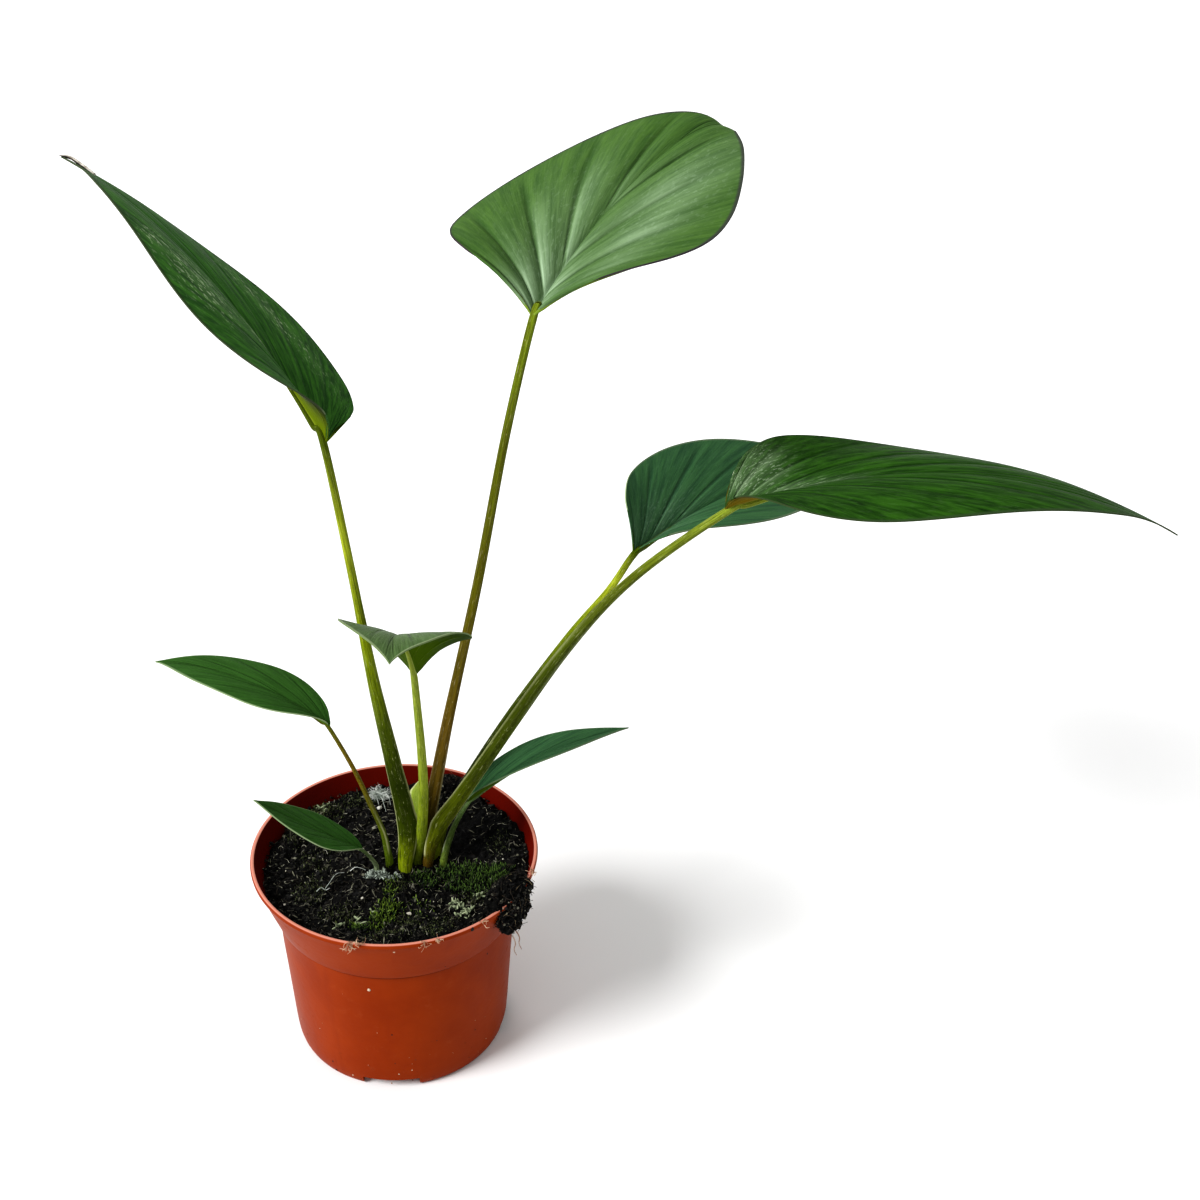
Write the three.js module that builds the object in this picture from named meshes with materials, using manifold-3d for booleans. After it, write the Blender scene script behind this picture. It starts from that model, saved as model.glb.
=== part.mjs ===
// A potted black emerald homalomena: a plastic nursery pot, its soil, and eight leaves on their stalks.
// Millimetres, +Z up. The origin is the middle of the pot's underside, and -Y is the front.
import * as THREE from 'three';
import { mergeVertices } from 'three/addons/utils/BufferGeometryUtils.js';
import Module from 'manifold-3d';

const wasm = await Module();
wasm.setup();

const GAP = 0.3; // clearance between pieces that touch on the real plant

// Pot
const POT_HEIGHT = 93;
const RIM_RADIUS = 60;
const STEP_HEIGHT = 68; // lower edge of the rim band
const STEP_RADIUS = 50;
const FOOT_RADIUS = 43.5;
const WALL = 1.4;
const FLOOR_TOP = 7.2;
const RECESS = 5.4; // the underside of the floor stands this high inside the foot ring
const POT_SIDES = 48;
const NOTCH = { count: 4, first: -98.5, width: 24, height: 5 }; // first: degrees from +X
const DRAIN = { count: 6, ring: 26, radius: 4 };
const PAD_RADIUS = 13; // middle of the floor, level with the foot

// Soil
const SOIL_LEVEL = 84;
const SOIL_TILT = 2; // how much higher it lies at the right front
const SOIL_TILT_TOWARDS = -20; // degrees from +X
const SOIL_BANK = 2.5; // how much higher it lies along the pot's wall
// Clods that lie on the rim: two spill over it at the right front, one lies inside it at the back
const CLODS = [
  { turn: -36, reach: 55, height: 90.5, size: [7.5, 12, 5], seed: 1 },
  { turn: -40, reach: 59, height: 83, size: [4.2, 8.5, 9], seed: 3 },
  { turn: 60, reach: 53, height: 88, size: [5, 9, 6], seed: 2 },
];
const HOLE_FLOOR = 62; // the stalks stand this deep in the soil
const STALK_STRAIGHT = 87; // above the soil, up to here, each stalk is plumb

// Leaves
const BLADE_THICKNESS = 0.8;
const RIB_DEPTH = 0.9; // midrib, proud of the underside
const SEAT = 0.8; // from a stalk's end to the root of its blade

// Half outlines of a blade, as shares of its length and of its half width
const HEART = [
  [0, 0], [0.02, 0.2], [0.032, 0.43], [0.058, 0.68], [0.135, 0.9], [0.28, 1], [0.44, 0.95],
  [0.6, 0.78], [0.75, 0.53], [0.87, 0.25], [0.95, 0.08], [1, 0],
];
const DEEP_HEART = [[0, 0], [-0.004, 0.2], [0.006, 0.43], [0.045, 0.68], [0.13, 0.9], ...HEART.slice(5)];
const SHIELD = [[0, 0], [0.02, 0.2], [0.045, 0.43], [0.085, 0.68], [0.155, 0.9], ...HEART.slice(5)];
const LANCE = [
  [0, 0], [0.04, 0.25], [0.12, 0.58], [0.24, 0.88], [0.38, 1], [0.53, 0.94],
  [0.68, 0.75], [0.8, 0.5], [0.9, 0.24], [0.96, 0.08], [1, 0],
];

// Each leaf. root is where stalk and blade meet. yaw and pitch aim the midrib there, in degrees from +X and
// from level; arch, turn and twist are how far it has nodded, turned and rolled by the tip, and dip and lean
// bend and roll only the tip. Pairs are the left and right halves, seen along the midrib: fold lifts a half
// all along, cup lifts it near the root, and curl bends it from midrib to margin.
const LEAVES = [
  {
    name: 'tall_left', outline: HEART, length: 160, half: 37, rows: 22, columns: 4,
    root: [-17, -5, 285], yaw: 132, pitch: 49, roll: 31, arch: 40, turn: 3, twist: 7, dip: 0,
    fold: [10, 9], cup: [42, 16], curl: [-27, -10], wave: 1.3, phase: -0.3,
    stalk: {
      foot: [4, -3], radii: [2.8, 1.4], sheath: { peak: 24, end: 130, extra: 2, faces: -100 },
      path: [[5, -2.5, 108], [1, -2.5, 139], [-5, -3, 180], [-11, -4, 232]],
    },
  },
  {
    name: 'broad_centre', outline: HEART, length: 169, half: 49, rows: 24, columns: 5,
    root: [58, -1, 329], yaw: 58, pitch: 24, roll: 2, arch: 22, turn: -10, twist: 5, dip: 90, lean: 24,
    fold: [11, 11], cup: [47, 37], curl: [-39, -10], wave: 1.2, phase: 0.1,
    stalk: {
      foot: [10.5, 6.5], radii: [2.4, 1.5], sheath: { peak: 20, end: 90, extra: 0.8, faces: 60 },
      path: [[16, 5.5, 110], [24, 4, 154], [37, 2, 219], [48, 0.5, 281]],
    },
  },
  {
    name: 'long_right', outline: SHIELD, length: 188, half: 43, rows: 24, columns: 4,
    root: [132, -1, 248], yaw: -6, pitch: 23, roll: -8, arch: 55, turn: 4, twist: -8, dip: 0,
    fold: [3, 1], cup: [40, 42], curl: [-12, -23], wave: 1.2, phase: 0.4,
    stalk: {
      foot: [13.5, -2.5], radii: [2.2, 1.6], sheath: { peak: 24, end: 150, extra: 3, faces: -60 },
      path: [[18, -2, 102], [39, -1, 138], [70.6, 0, 187.6], [97.6, 0, 219.4]],
    },
  },
  {
    name: 'right_behind', outline: HEART, length: 178, half: 32, rows: 20, columns: 4,
    root: [105, 47, 203], yaw: 43, pitch: 7, roll: 12, arch: 33, turn: -1, twist: 7, dip: 0,
    fold: [17, 17], cup: [44, 44], curl: [-6, -2], wave: 0.7, phase: 0,
    stalk: {
      foot: [17, 2.5], radii: [2.1, 1.6], sheath: { peak: 18, end: 90, extra: 0.6, faces: 0 },
      path: [[25, 8, 108], [48, 21, 139], [76, 34, 171], [94, 41, 189]],
    },
  },
  {
    name: 'small_front', outline: DEEP_HEART, length: 94, half: 25, rows: 18, columns: 4,
    root: [11, -16, 190], yaw: -105, pitch: 67, roll: -1, arch: 62, turn: 13, twist: -10, dip: 0,
    fold: [17, 14], cup: [48, 34], curl: [-14, -11], wave: 0.8, phase: -0.2,
    stalk: {
      foot: [9.2, 0.4], radii: [2.1, 1.4], sheath: { peak: 18, end: 80, extra: 0.3, faces: -90 },
      path: [[11.4, -3.6, 104], [12.7, -9, 129], [12.5, -12, 150], [11.5, -14.5, 174]],
    },
  },
  {
    name: 'small_left', outline: LANCE, length: 78, half: 17, rows: 16, columns: 3,
    root: [-23, -4, 160], yaw: 157, pitch: 35, roll: 11, arch: 45, turn: 0, twist: -6, dip: 0,
    fold: [11, 8], cup: [35, 28], curl: [-16, -18], wave: 0.4, phase: 0,
    stalk: {
      foot: [-2.5, 0.5], radii: [1.7, 0.9], sheath: { peak: 14, end: 50, extra: 0.5, faces: 200 },
      path: [[-4.5, 0.3, 102], [-9, -1, 118], [-15, -2.5, 138]],
    },
  },
  {
    name: 'lowest_left', outline: LANCE, length: 53, half: 11, rows: 14, columns: 3,
    root: [-13, -8, 100], yaw: 186, pitch: 35, roll: 3, arch: -5, turn: -1, twist: -5, dip: 0,
    fold: [9, 7], cup: [28, 22], curl: [-14, -10], wave: 0.3, phase: -0.1,
    stalk: {
      foot: [-8, -3], radii: [1.3, 0.8], sheath: { peak: 5, end: 10, extra: 0.2, faces: 200 },
      path: [[-10, -5.3, 93]],
    },
  },
  {
    name: 'small_right', outline: LANCE, length: 76, half: 13, rows: 16, columns: 3,
    root: [31, 5, 111], yaw: 11, pitch: 36, roll: -16, arch: 35, turn: -1, twist: 2, dip: 0,
    fold: [14, 16], cup: [27, 33], curl: [2, 2], wave: 0.3, phase: 0,
    stalk: {
      foot: [20, -3], radii: [1.6, 0.9], sheath: { peak: 8, end: 24, extra: 0.5, faces: -60 },
      path: [[22, -1, 94], [26, 2, 103]],
    },
  },
];

// The short pale sheath that stands between the tall left stalk and the front one
const SHEATH_LEAF = {
  outline: LANCE, length: 42, half: 4.2, rows: 10, columns: 2,
  root: [6.3, 2.6, 86], yaw: 20, pitch: 86, roll: 80, arch: -4, turn: 0, twist: 0, dip: 0,
  fold: [20, 20], cup: [10, 10], curl: [20, 20], wave: 0, phase: 0,
};

const COLOURS = {
  pot: { color: 0x9c3a1c, roughness: 0.45 },
  soil: { color: 0x1b1713, roughness: 1 },
  blade: { color: 0x2f5a34, roughness: 0.4 },
  stalk: { color: 0x6f7f22, roughness: 0.4 },
};

const radians = THREE.MathUtils.degToRad;
const smoothstep = THREE.MathUtils.smoothstep;

const group = new THREE.Group();
group.name = 'potted_black_emerald_homalomena';

function addPiece(name, geometry, look) {
  const material = new THREE.MeshStandardMaterial({ ...COLOURS[look], metalness: 0 });
  const mesh = new THREE.Mesh(geometry, material);
  mesh.name = name;
  group.add(mesh);
}

function geometryOf(vertices, triangles) {
  const geometry = new THREE.BufferGeometry();
  geometry.setAttribute('position', new THREE.Float32BufferAttribute(vertices, 3));
  geometry.setIndex(triangles);
  return geometry;
}

// A closed geometry as a solid that can be joined and cut
function solidOf(geometry) {
  const bare = geometry.clone();
  bare.deleteAttribute('normal');
  bare.deleteAttribute('uv');
  const merged = mergeVertices(bare, 1e-4);
  const index = Array.from(merged.index.array);
  const triVerts = [];
  for (let i = 0; i < index.length; i += 3) {
    const [a, b, c] = index.slice(i, i + 3);
    if (a !== b && b !== c && c !== a) triVerts.push(a, b, c);
  }
  return new wasm.Manifold(new wasm.Mesh({
    numProp: 3,
    vertProperties: new Float32Array(merged.attributes.position.array),
    triVerts: new Uint32Array(triVerts),
  }));
}

function geometryOfSolid(solid) {
  const mesh = solid.getMesh();
  return geometryOf(Array.from(mesh.vertProperties), Array.from(mesh.triVerts));
}

// A profile of [radius, height] pairs, outside upwards, turned about +Z
function turned(profile, sides) {
  const geometry = new THREE.LatheGeometry(profile.map(([r, z]) => new THREE.Vector2(r, z)), sides);
  return geometry.rotateX(Math.PI / 2);
}

// An upright cylinder from its foot
function post(x, y, bottom, top, radius, sides = 12) {
  const geometry = new THREE.CylinderGeometry(radius, radius, top - bottom, sides);
  return geometry.rotateX(Math.PI / 2).translate(x, y, (top + bottom) / 2);
}

// Pot: the outer face upwards, over the lip, down the inner face and across the floor
const OUTER_WALL = [
  [FOOT_RADIUS, 0], [44.8, 1], [45.8, 4], [46.6, 12], [STEP_RADIUS, STEP_HEIGHT - 0.6],
  [STEP_RADIUS + 1.2, STEP_HEIGHT], [58.9, 90.4], [RIM_RADIUS, 91.6],
];

function makePot() {
  const lip = [[RIM_RADIUS, POT_HEIGHT - 0.4], [RIM_RADIUS - 0.5, POT_HEIGHT], [RIM_RADIUS - 1.6, POT_HEIGHT]];
  const inner = OUTER_WALL.slice(3, -1).reverse().map(([r, z]) => [r - WALL, z]);
  const profile = [
    [0, 0], [PAD_RADIUS, 0], [PAD_RADIUS + 1.5, RECESS], [FOOT_RADIUS - 4.5, RECESS], [FOOT_RADIUS - 3, 0],
    ...OUTER_WALL, ...lip, ...inner, [44, FLOOR_TOP + 1], [42.6, FLOOR_TOP], [0, FLOOR_TOP],
  ];
  let pot = solidOf(turned(profile, POT_SIDES));
  for (let i = 0; i < NOTCH.count; i += 1) {
    const turn = radians(NOTCH.first + (i * 360) / NOTCH.count);
    const notch = new THREE.BoxGeometry(10, NOTCH.width, 2 * NOTCH.height);
    notch.translate(FOOT_RADIUS, 0, 0).rotateZ(turn);
    pot = pot.subtract(solidOf(notch));
  }
  for (let i = 0; i < DRAIN.count; i += 1) {
    const turn = radians(-60 + (i * 360) / DRAIN.count);
    const x = DRAIN.ring * Math.cos(turn);
    const y = DRAIN.ring * Math.sin(turn);
    pot = pot.subtract(solidOf(post(x, y, -1, FLOOR_TOP + 1, DRAIN.radius)));
  }
  return pot;
}

// Soil: fills the pot inside its wall, with a lumpy top
function lumps(x, y) {
  return 0.7 * Math.sin(0.31 * x + 1.1) * Math.cos(0.27 * y - 0.4)
    + 0.5 * Math.sin(0.67 * x - 0.52 * y + 2) + 0.35 * Math.cos(0.9 * y + 0.4 * x);
}

function soilHeight(x, y) {
  const towards = radians(SOIL_TILT_TOWARDS);
  const along = (x * Math.cos(towards) + y * Math.sin(towards)) / RIM_RADIUS;
  const bank = SOIL_BANK * smoothstep(Math.hypot(x, y), 0.55 * RIM_RADIUS, 0.9 * RIM_RADIUS);
  return SOIL_LEVEL + SOIL_TILT * along + bank + lumps(x, y);
}

function wallRadius(z) {
  const wall = OUTER_WALL.slice(3); // above the rounded foot
  const above = Math.max(1, wall.findIndex(([, height]) => height > z));
  const [[r0, z0], [r1, z1]] = [wall[above - 1], wall[above]];
  return THREE.MathUtils.lerp(r0, r1, (z - z0) / (z1 - z0)) - WALL - GAP;
}

function soilFill() {
  const sides = POT_SIDES;
  const shares = [0.2, 0.4, 0.6, 0.8, 1];
  const bends = [STEP_HEIGHT, STEP_HEIGHT - 0.6, 14]; // where the wall inside the pot bends
  const vertices = [0, 0, soilHeight(0, 0)];
  const triangles = [];
  const rings = [];
  const addRing = (point) => {
    rings.push(vertices.length / 3);
    for (let i = 0; i < sides; i += 1) vertices.push(...point((2 * Math.PI * i) / sides));
  };
  for (const share of shares) {
    addRing((turn) => {
      const reach = share * wallRadius(soilHeight(55 * Math.cos(turn), 55 * Math.sin(turn)) - 1.5);
      const x = reach * Math.cos(turn);
      const y = reach * Math.sin(turn);
      return [x, y, soilHeight(x, y) - (share === 1 ? 1.5 : 0)];
    });
  }
  for (const z of bends) {
    addRing((turn) => [wallRadius(z) * Math.cos(turn), wallRadius(z) * Math.sin(turn), z + GAP]);
  }
  const floor = FLOOR_TOP + GAP;
  addRing((turn) => [42 * Math.cos(turn), 42 * Math.sin(turn), floor]);
  const last = vertices.length / 3;
  vertices.push(0, 0, floor);
  for (let i = 0; i < sides; i += 1) {
    const next = (i + 1) % sides;
    triangles.push(0, rings[0] + i, rings[0] + next);
    for (let k = 1; k < rings.length; k += 1) {
      const [inner, outer] = [rings[k - 1], rings[k]];
      triangles.push(inner + i, outer + i, outer + next, inner + i, outer + next, inner + next);
    }
    const rim = rings[rings.length - 1];
    triangles.push(last, rim + next, rim + i);
  }
  return solidOf(geometryOf(vertices, triangles));
}

// A clod, as a rough ball. size is its radial, sideways and upright half size
function clod({ turn, reach, height, size, seed }) {
  const geometry = new THREE.IcosahedronGeometry(1, 2);
  const position = geometry.attributes.position;
  const point = new THREE.Vector3();
  for (let i = 0; i < position.count; i += 1) {
    point.fromBufferAttribute(position, i);
    const rough = 1 + 0.1 * Math.sin(5 * point.x + seed) * Math.cos(4 * point.y - seed)
      + 0.06 * Math.sin(9 * point.z + 2 * seed);
    position.setXYZ(i, ...point.multiplyScalar(rough).toArray());
  }
  geometry.scale(...size).translate(reach, 0, height).rotateZ(radians(turn));
  return solidOf(geometry);
}

// The room that clods must leave for the pot's wall and lip
function rimClearance() {
  const outside = OUTER_WALL.slice(4, -1).map(([r, z]) => [r + GAP, z]);
  const inside = OUTER_WALL.slice(4, -1).reverse().map(([r, z]) => [r - WALL - GAP, z]);
  const lip = [
    [RIM_RADIUS + GAP, 91.4], [RIM_RADIUS + GAP, POT_HEIGHT + GAP], [RIM_RADIUS - 1.6 - GAP, POT_HEIGHT + GAP],
  ];
  return solidOf(turned([...outside, ...lip, ...inside, outside[0]], POT_SIDES));
}

function makeSoil() {
  let clods = clod(CLODS[0]);
  for (const place of CLODS.slice(1)) clods = clods.add(clod(place));
  let soil = soilFill().add(clods.subtract(rimClearance()));
  for (const { stalk } of LEAVES) {
    const [x, y] = stalk.foot;
    soil = soil.subtract(solidOf(post(x, y, HOLE_FLOOR - GAP, STALK_STRAIGHT + 8, stalk.radii[0] + GAP)));
  }
  return soil.decompose().sort((a, b) => b.volume() - a.volume())[0];
}

// A stalk: plumb and round in the soil, then along its path, with a sheath that is wider than it is deep
function stalkGeometry({ root, stalk }) {
  const { foot, radii, sheath, path } = stalk;
  const sides = 8;
  const steps = 4 * path.length;
  const start = new THREE.Vector3(...foot, STALK_STRAIGHT);
  const points = [start, ...path.map((point) => new THREE.Vector3(...point)), new THREE.Vector3(...root)];
  const curve = new THREE.CatmullRomCurve3(points, false, 'catmullrom', 0.5);
  const up = new THREE.Vector3(0, 0, 1);
  const outward = new THREE.Vector3(Math.cos(radians(sheath.faces)), Math.sin(radians(sheath.faces)), 0);
  const rings = [{ centre: new THREE.Vector3(...foot, HOLE_FLOOR), along: up, depth: radii[0], width: radii[0] }];
  for (let i = 0; i <= steps; i += 1) {
    const share = i / steps;
    const centre = curve.getPoint(share);
    const along = i === 0 ? up : curve.getTangent(share);
    if (i === steps) centre.addScaledVector(along, -SEAT);
    const height = centre.z - STALK_STRAIGHT;
    const depth = THREE.MathUtils.lerp(radii[1], radii[0], (1 - share) ** 1.6);
    const swell = smoothstep(height, 0, sheath.peak) * (1 - smoothstep(height, sheath.peak, sheath.end));
    rings.push({ centre, along, depth, width: depth + sheath.extra * swell });
  }
  const vertices = [];
  for (const { centre, along, depth, width } of rings) {
    const across = new THREE.Vector3().crossVectors(along, outward).normalize();
    const through = new THREE.Vector3().crossVectors(across, along);
    for (let i = 0; i < sides; i += 1) {
      const turn = (2 * Math.PI * i) / sides;
      const point = centre.clone().addScaledVector(across, width * Math.sin(turn));
      vertices.push(...point.addScaledVector(through, depth * Math.cos(turn)).toArray());
    }
  }
  const triangles = [];
  for (let k = 1; k < rings.length; k += 1) {
    for (let i = 0; i < sides; i += 1) {
      const next = (i + 1) % sides;
      const [low, high] = [(k - 1) * sides, k * sides];
      triangles.push(low + i, low + next, high + next, low + i, high + next, high + i);
    }
  }
  const top = (rings.length - 1) * sides;
  for (let i = 1; i < sides - 1; i += 1) {
    triangles.push(0, i + 1, i, top, top + i, top + i + 1);
  }
  return geometryOf(vertices, triangles);
}

// The midrib of a blade as a list of places: where it is and its forward, left and up directions
function midrib(leaf) {
  const steps = 60;
  const places = [];
  const point = new THREE.Vector3(...leaf.root);
  let before = null;
  for (let i = 0; i <= steps; i += 1) {
    const share = i / steps;
    const pitch = radians(leaf.pitch - leaf.arch * share - leaf.dip * share ** 14);
    const yaw = radians(leaf.yaw + leaf.turn * share);
    const roll = radians(leaf.roll + leaf.twist * share + (leaf.lean ?? 0) * share ** 10);
    const forward = new THREE.Vector3(
      Math.cos(yaw) * Math.cos(pitch), Math.sin(yaw) * Math.cos(pitch), Math.sin(pitch));
    const left = new THREE.Vector3(-Math.sin(yaw), Math.cos(yaw), 0).applyAxisAngle(forward, roll);
    const up = new THREE.Vector3().crossVectors(forward, left);
    if (before) point.addScaledVector(before.clone().add(forward), leaf.length / steps / 2);
    before = forward;
    places.push({ point: point.clone(), forward, left, up });
  }
  return places;
}

function placeAt(places, share) {
  const last = places.length - 1;
  const at = THREE.MathUtils.clamp(share, 0, 1) * last;
  const low = Math.min(Math.floor(at), last - 1);
  const mix = (key) => places[low][key].clone().lerp(places[low + 1][key], at - low);
  return { point: mix('point'), forward: mix('forward'), left: mix('left'), up: mix('up') };
}

// One point of a blade's middle surface. across runs from -1, the right margin, to 1, the left one
function bladePoint(leaf, places, margin, share, across) {
  const out = Math.abs(across);
  const side = across < 0 ? 1 : 0;
  const start = leaf.length * share ** 1.6;
  const x = start + (margin.x - start) * out ** 1.35;
  const y = margin.y * out;
  const along = THREE.MathUtils.clamp(x / leaf.length, 0, 1);
  const reach = y / leaf.half;
  const { point, forward, left, up } = placeAt(places, along);
  const lift = radians(leaf.fold[side] * (1 - 0.5 * along) + leaf.cup[side] * Math.exp(-along / 0.16)
    + (leaf.curl[side] * reach) / 2);
  const ripple = Math.sin(2 * Math.PI * (2.3 * share + leaf.phase + 0.37 * side));
  const wave = leaf.wave * ripple * reach * reach * Math.min(1, 4 * (1 - along));
  if (x < 0) point.addScaledVector(forward, x);
  point.addScaledVector(left, (side === 1 ? -y : y) * Math.cos(lift));
  return point.addScaledVector(up, y * Math.sin(lift) + wave);
}

// A blade: two faces split into triangles alike, joined round the margin, with the midrib proud below
function bladeGeometry(leaf) {
  const { rows, columns } = leaf;
  const places = midrib(leaf);
  const corners = leaf.outline.map(([x, y]) => new THREE.Vector3(x * leaf.length, y * leaf.half, 0));
  const outline = new THREE.CatmullRomCurve3(corners, false, 'catmullrom', 0.5);
  const middle = [];
  const indexOf = (row, column) => {
    if (row === 0) return 0;
    if (row === rows) return 1;
    return 2 + (row - 1) * (2 * columns + 1) + column + columns;
  };
  for (let row = 0; row <= rows; row += 1) {
    const margin = outline.getPoint(row / rows);
    for (let column = -columns; column <= columns; column += 1) {
      const at = indexOf(row, column);
      if (!middle[at]) middle[at] = bladePoint(leaf, places, margin, row / rows, column / columns);
    }
  }
  const faces = [];
  for (let row = 0; row < rows; row += 1) {
    for (let column = -columns; column < columns; column += 1) {
      const [a, b] = [indexOf(row, column), indexOf(row + 1, column)];
      const [c, d] = [indexOf(row + 1, column + 1), indexOf(row, column + 1)];
      const halves = column < 0 ? [[a, b, d], [b, c, d]] : [[a, b, c], [a, c, d]];
      for (const face of halves) {
        if (new Set(face).size === 3) faces.push(face);
      }
    }
  }
  const normals = middle.map(() => new THREE.Vector3());
  for (const face of faces) {
    const [a, b, c] = face.map((k) => middle[k]);
    const normal = b.clone().sub(a).cross(c.clone().sub(a));
    for (const k of face) normals[k].add(normal);
  }
  const vertices = [];
  for (const [k, point] of middle.entries()) {
    vertices.push(...point.clone().addScaledVector(normals[k].normalize(), BLADE_THICKNESS / 2).toArray());
  }
  for (const [k, point] of middle.entries()) {
    const row = k < 2 ? 0 : Math.floor((k - 2) / (2 * columns + 1)) + 1;
    const onMidrib = k >= 2 && (k - 2) % (2 * columns + 1) === columns;
    const rib = onMidrib ? RIB_DEPTH * (leaf.half / 40) * (1 - row / rows) : 0;
    vertices.push(...point.clone().addScaledVector(normals[k], -BLADE_THICKNESS / 2 - rib).toArray());
  }
  const below = middle.length;
  const triangles = [];
  for (const [a, b, c] of faces) triangles.push(a, b, c, below + a, below + c, below + b);
  for (let row = 0; row < rows; row += 1) {
    const [l0, l1] = [indexOf(row, columns), indexOf(row + 1, columns)];
    const [r0, r1] = [indexOf(row, -columns), indexOf(row + 1, -columns)];
    triangles.push(l0, l1, below + l1, l0, below + l1, below + l0);
    triangles.push(r1, r0, below + r0, r1, below + r0, below + r1);
  }
  return geometryOf(vertices, triangles);
}

addPiece('pot', geometryOfSolid(makePot()), 'pot');
addPiece('soil', geometryOfSolid(makeSoil()), 'soil');
for (const leaf of LEAVES) {
  addPiece(`stalk_${leaf.name}`, stalkGeometry(leaf), 'stalk');
  addPiece(`blade_${leaf.name}`, bladeGeometry(leaf), 'blade');
}
addPiece('sheath_front', bladeGeometry(SHEATH_LEAF), 'stalk');

export default group;
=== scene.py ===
"""A potted homalomena: glossy heart-shaped leaves on sheathed stalks, in mossy peat in a nursery pot."""
import math
import bpy
import numpy as np
from mathutils import Matrix, Vector


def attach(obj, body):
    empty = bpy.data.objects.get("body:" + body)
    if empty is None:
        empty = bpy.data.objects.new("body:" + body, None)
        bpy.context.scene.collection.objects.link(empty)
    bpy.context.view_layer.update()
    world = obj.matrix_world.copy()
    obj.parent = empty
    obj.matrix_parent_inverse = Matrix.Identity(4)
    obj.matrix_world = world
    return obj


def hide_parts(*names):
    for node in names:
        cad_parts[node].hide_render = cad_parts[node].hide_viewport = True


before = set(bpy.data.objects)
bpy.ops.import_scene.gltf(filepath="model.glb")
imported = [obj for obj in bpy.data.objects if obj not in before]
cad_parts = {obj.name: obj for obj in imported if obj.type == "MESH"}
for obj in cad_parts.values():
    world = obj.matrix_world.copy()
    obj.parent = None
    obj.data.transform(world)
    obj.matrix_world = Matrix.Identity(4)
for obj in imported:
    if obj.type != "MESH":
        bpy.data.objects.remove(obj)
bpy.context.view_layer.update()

MM = 0.001
dice = np.random.default_rng(11)

# Lengths in these tables are in millimetres, and angles in degrees

# Leaves
MIDRIB_STEPS = 60
STALK_SIDES = 32
STALK_STEPS = 24  # from one point of a stalk's path to the next
STALK_SUNK = 74  # the foot of each stalk, inside the soil
STALK_STRAIGHT = 87  # up to here each stalk is plumb
LARGE_LEAF = 100  # blades longer than this have a finer mesh
BLADE_THICKNESS = 0.55
RIB_SHARES = (0.05, 0.15, 0.3, 0.45, 0.62)  # where the midrib's ridge is led along the blade

# Pot: radius and height up the outside, from the foot to the lip
OUTER_WALL = [(43.5, 0), (44.8, 1), (45.8, 4), (46.6, 12), (50, 67.4), (51.2, 68), (58.9, 90.4), (60, 91.6)]
WALL = 1.4
GAP = 0.3
FOOT_RADIUS = 43.5
RIM_RADIUS = 60
RIM_HEIGHT = 93
FLOOR_TOP = 7.2
RECESS = 5.4  # the underside of the floor stands this high inside the foot ring
POT_SIDES = 144
BAND_FOOT, BAND_RADIUS, BAND_SLOPE = 68, 51.2, 0.344
NOTCH = dict(count=4, first=-98.5, deep=10, width=24, height=5)
DRAIN = dict(count=6, first=-60, ring=26, radius=4)

# Soil. It rises to the right and at the wall. A patch at the right is kept dark, with few pale bits, as
# painted shade.
SHADED_PATCH = (31, 13)
SHADED_PATCH_REACH = 22
SOIL_LEVEL = 84
SOIL_REACH = 56  # how far out loose bits lie
SOIL_EDGE = 55  # about where the soil meets the wall
EDGE_DROP = 1.5  # how far the soil sinks there
INSIDE_RADIUS = 56.2  # of the pot, at the height of the soil
SOIL_TILT = 2
SOIL_TILT_TOWARDS = -20
SOIL_BANK = 2.5

# Half outlines of a blade, as shares of its length and of its half width
HEART = [
    (0, 0), (0.02, 0.2), (0.032, 0.43), (0.058, 0.68), (0.135, 0.9), (0.28, 1), (0.44, 0.95),
    (0.6, 0.78), (0.75, 0.53), (0.87, 0.25), (0.95, 0.08), (1, 0),
]
DEEP_HEART = [(0, 0), (-0.004, 0.2), (0.006, 0.43), (0.045, 0.68), (0.13, 0.9), *HEART[5:]]
SHIELD = [(0, 0), (0.02, 0.2), (0.045, 0.43), (0.085, 0.68), (0.155, 0.9), *HEART[5:]]
LANCE = [
    (0, 0), (0.04, 0.25), (0.12, 0.58), (0.24, 0.88), (0.38, 1), (0.53, 0.94),
    (0.68, 0.75), (0.8, 0.5), (0.9, 0.24), (0.96, 0.08), (1, 0),
]
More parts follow.
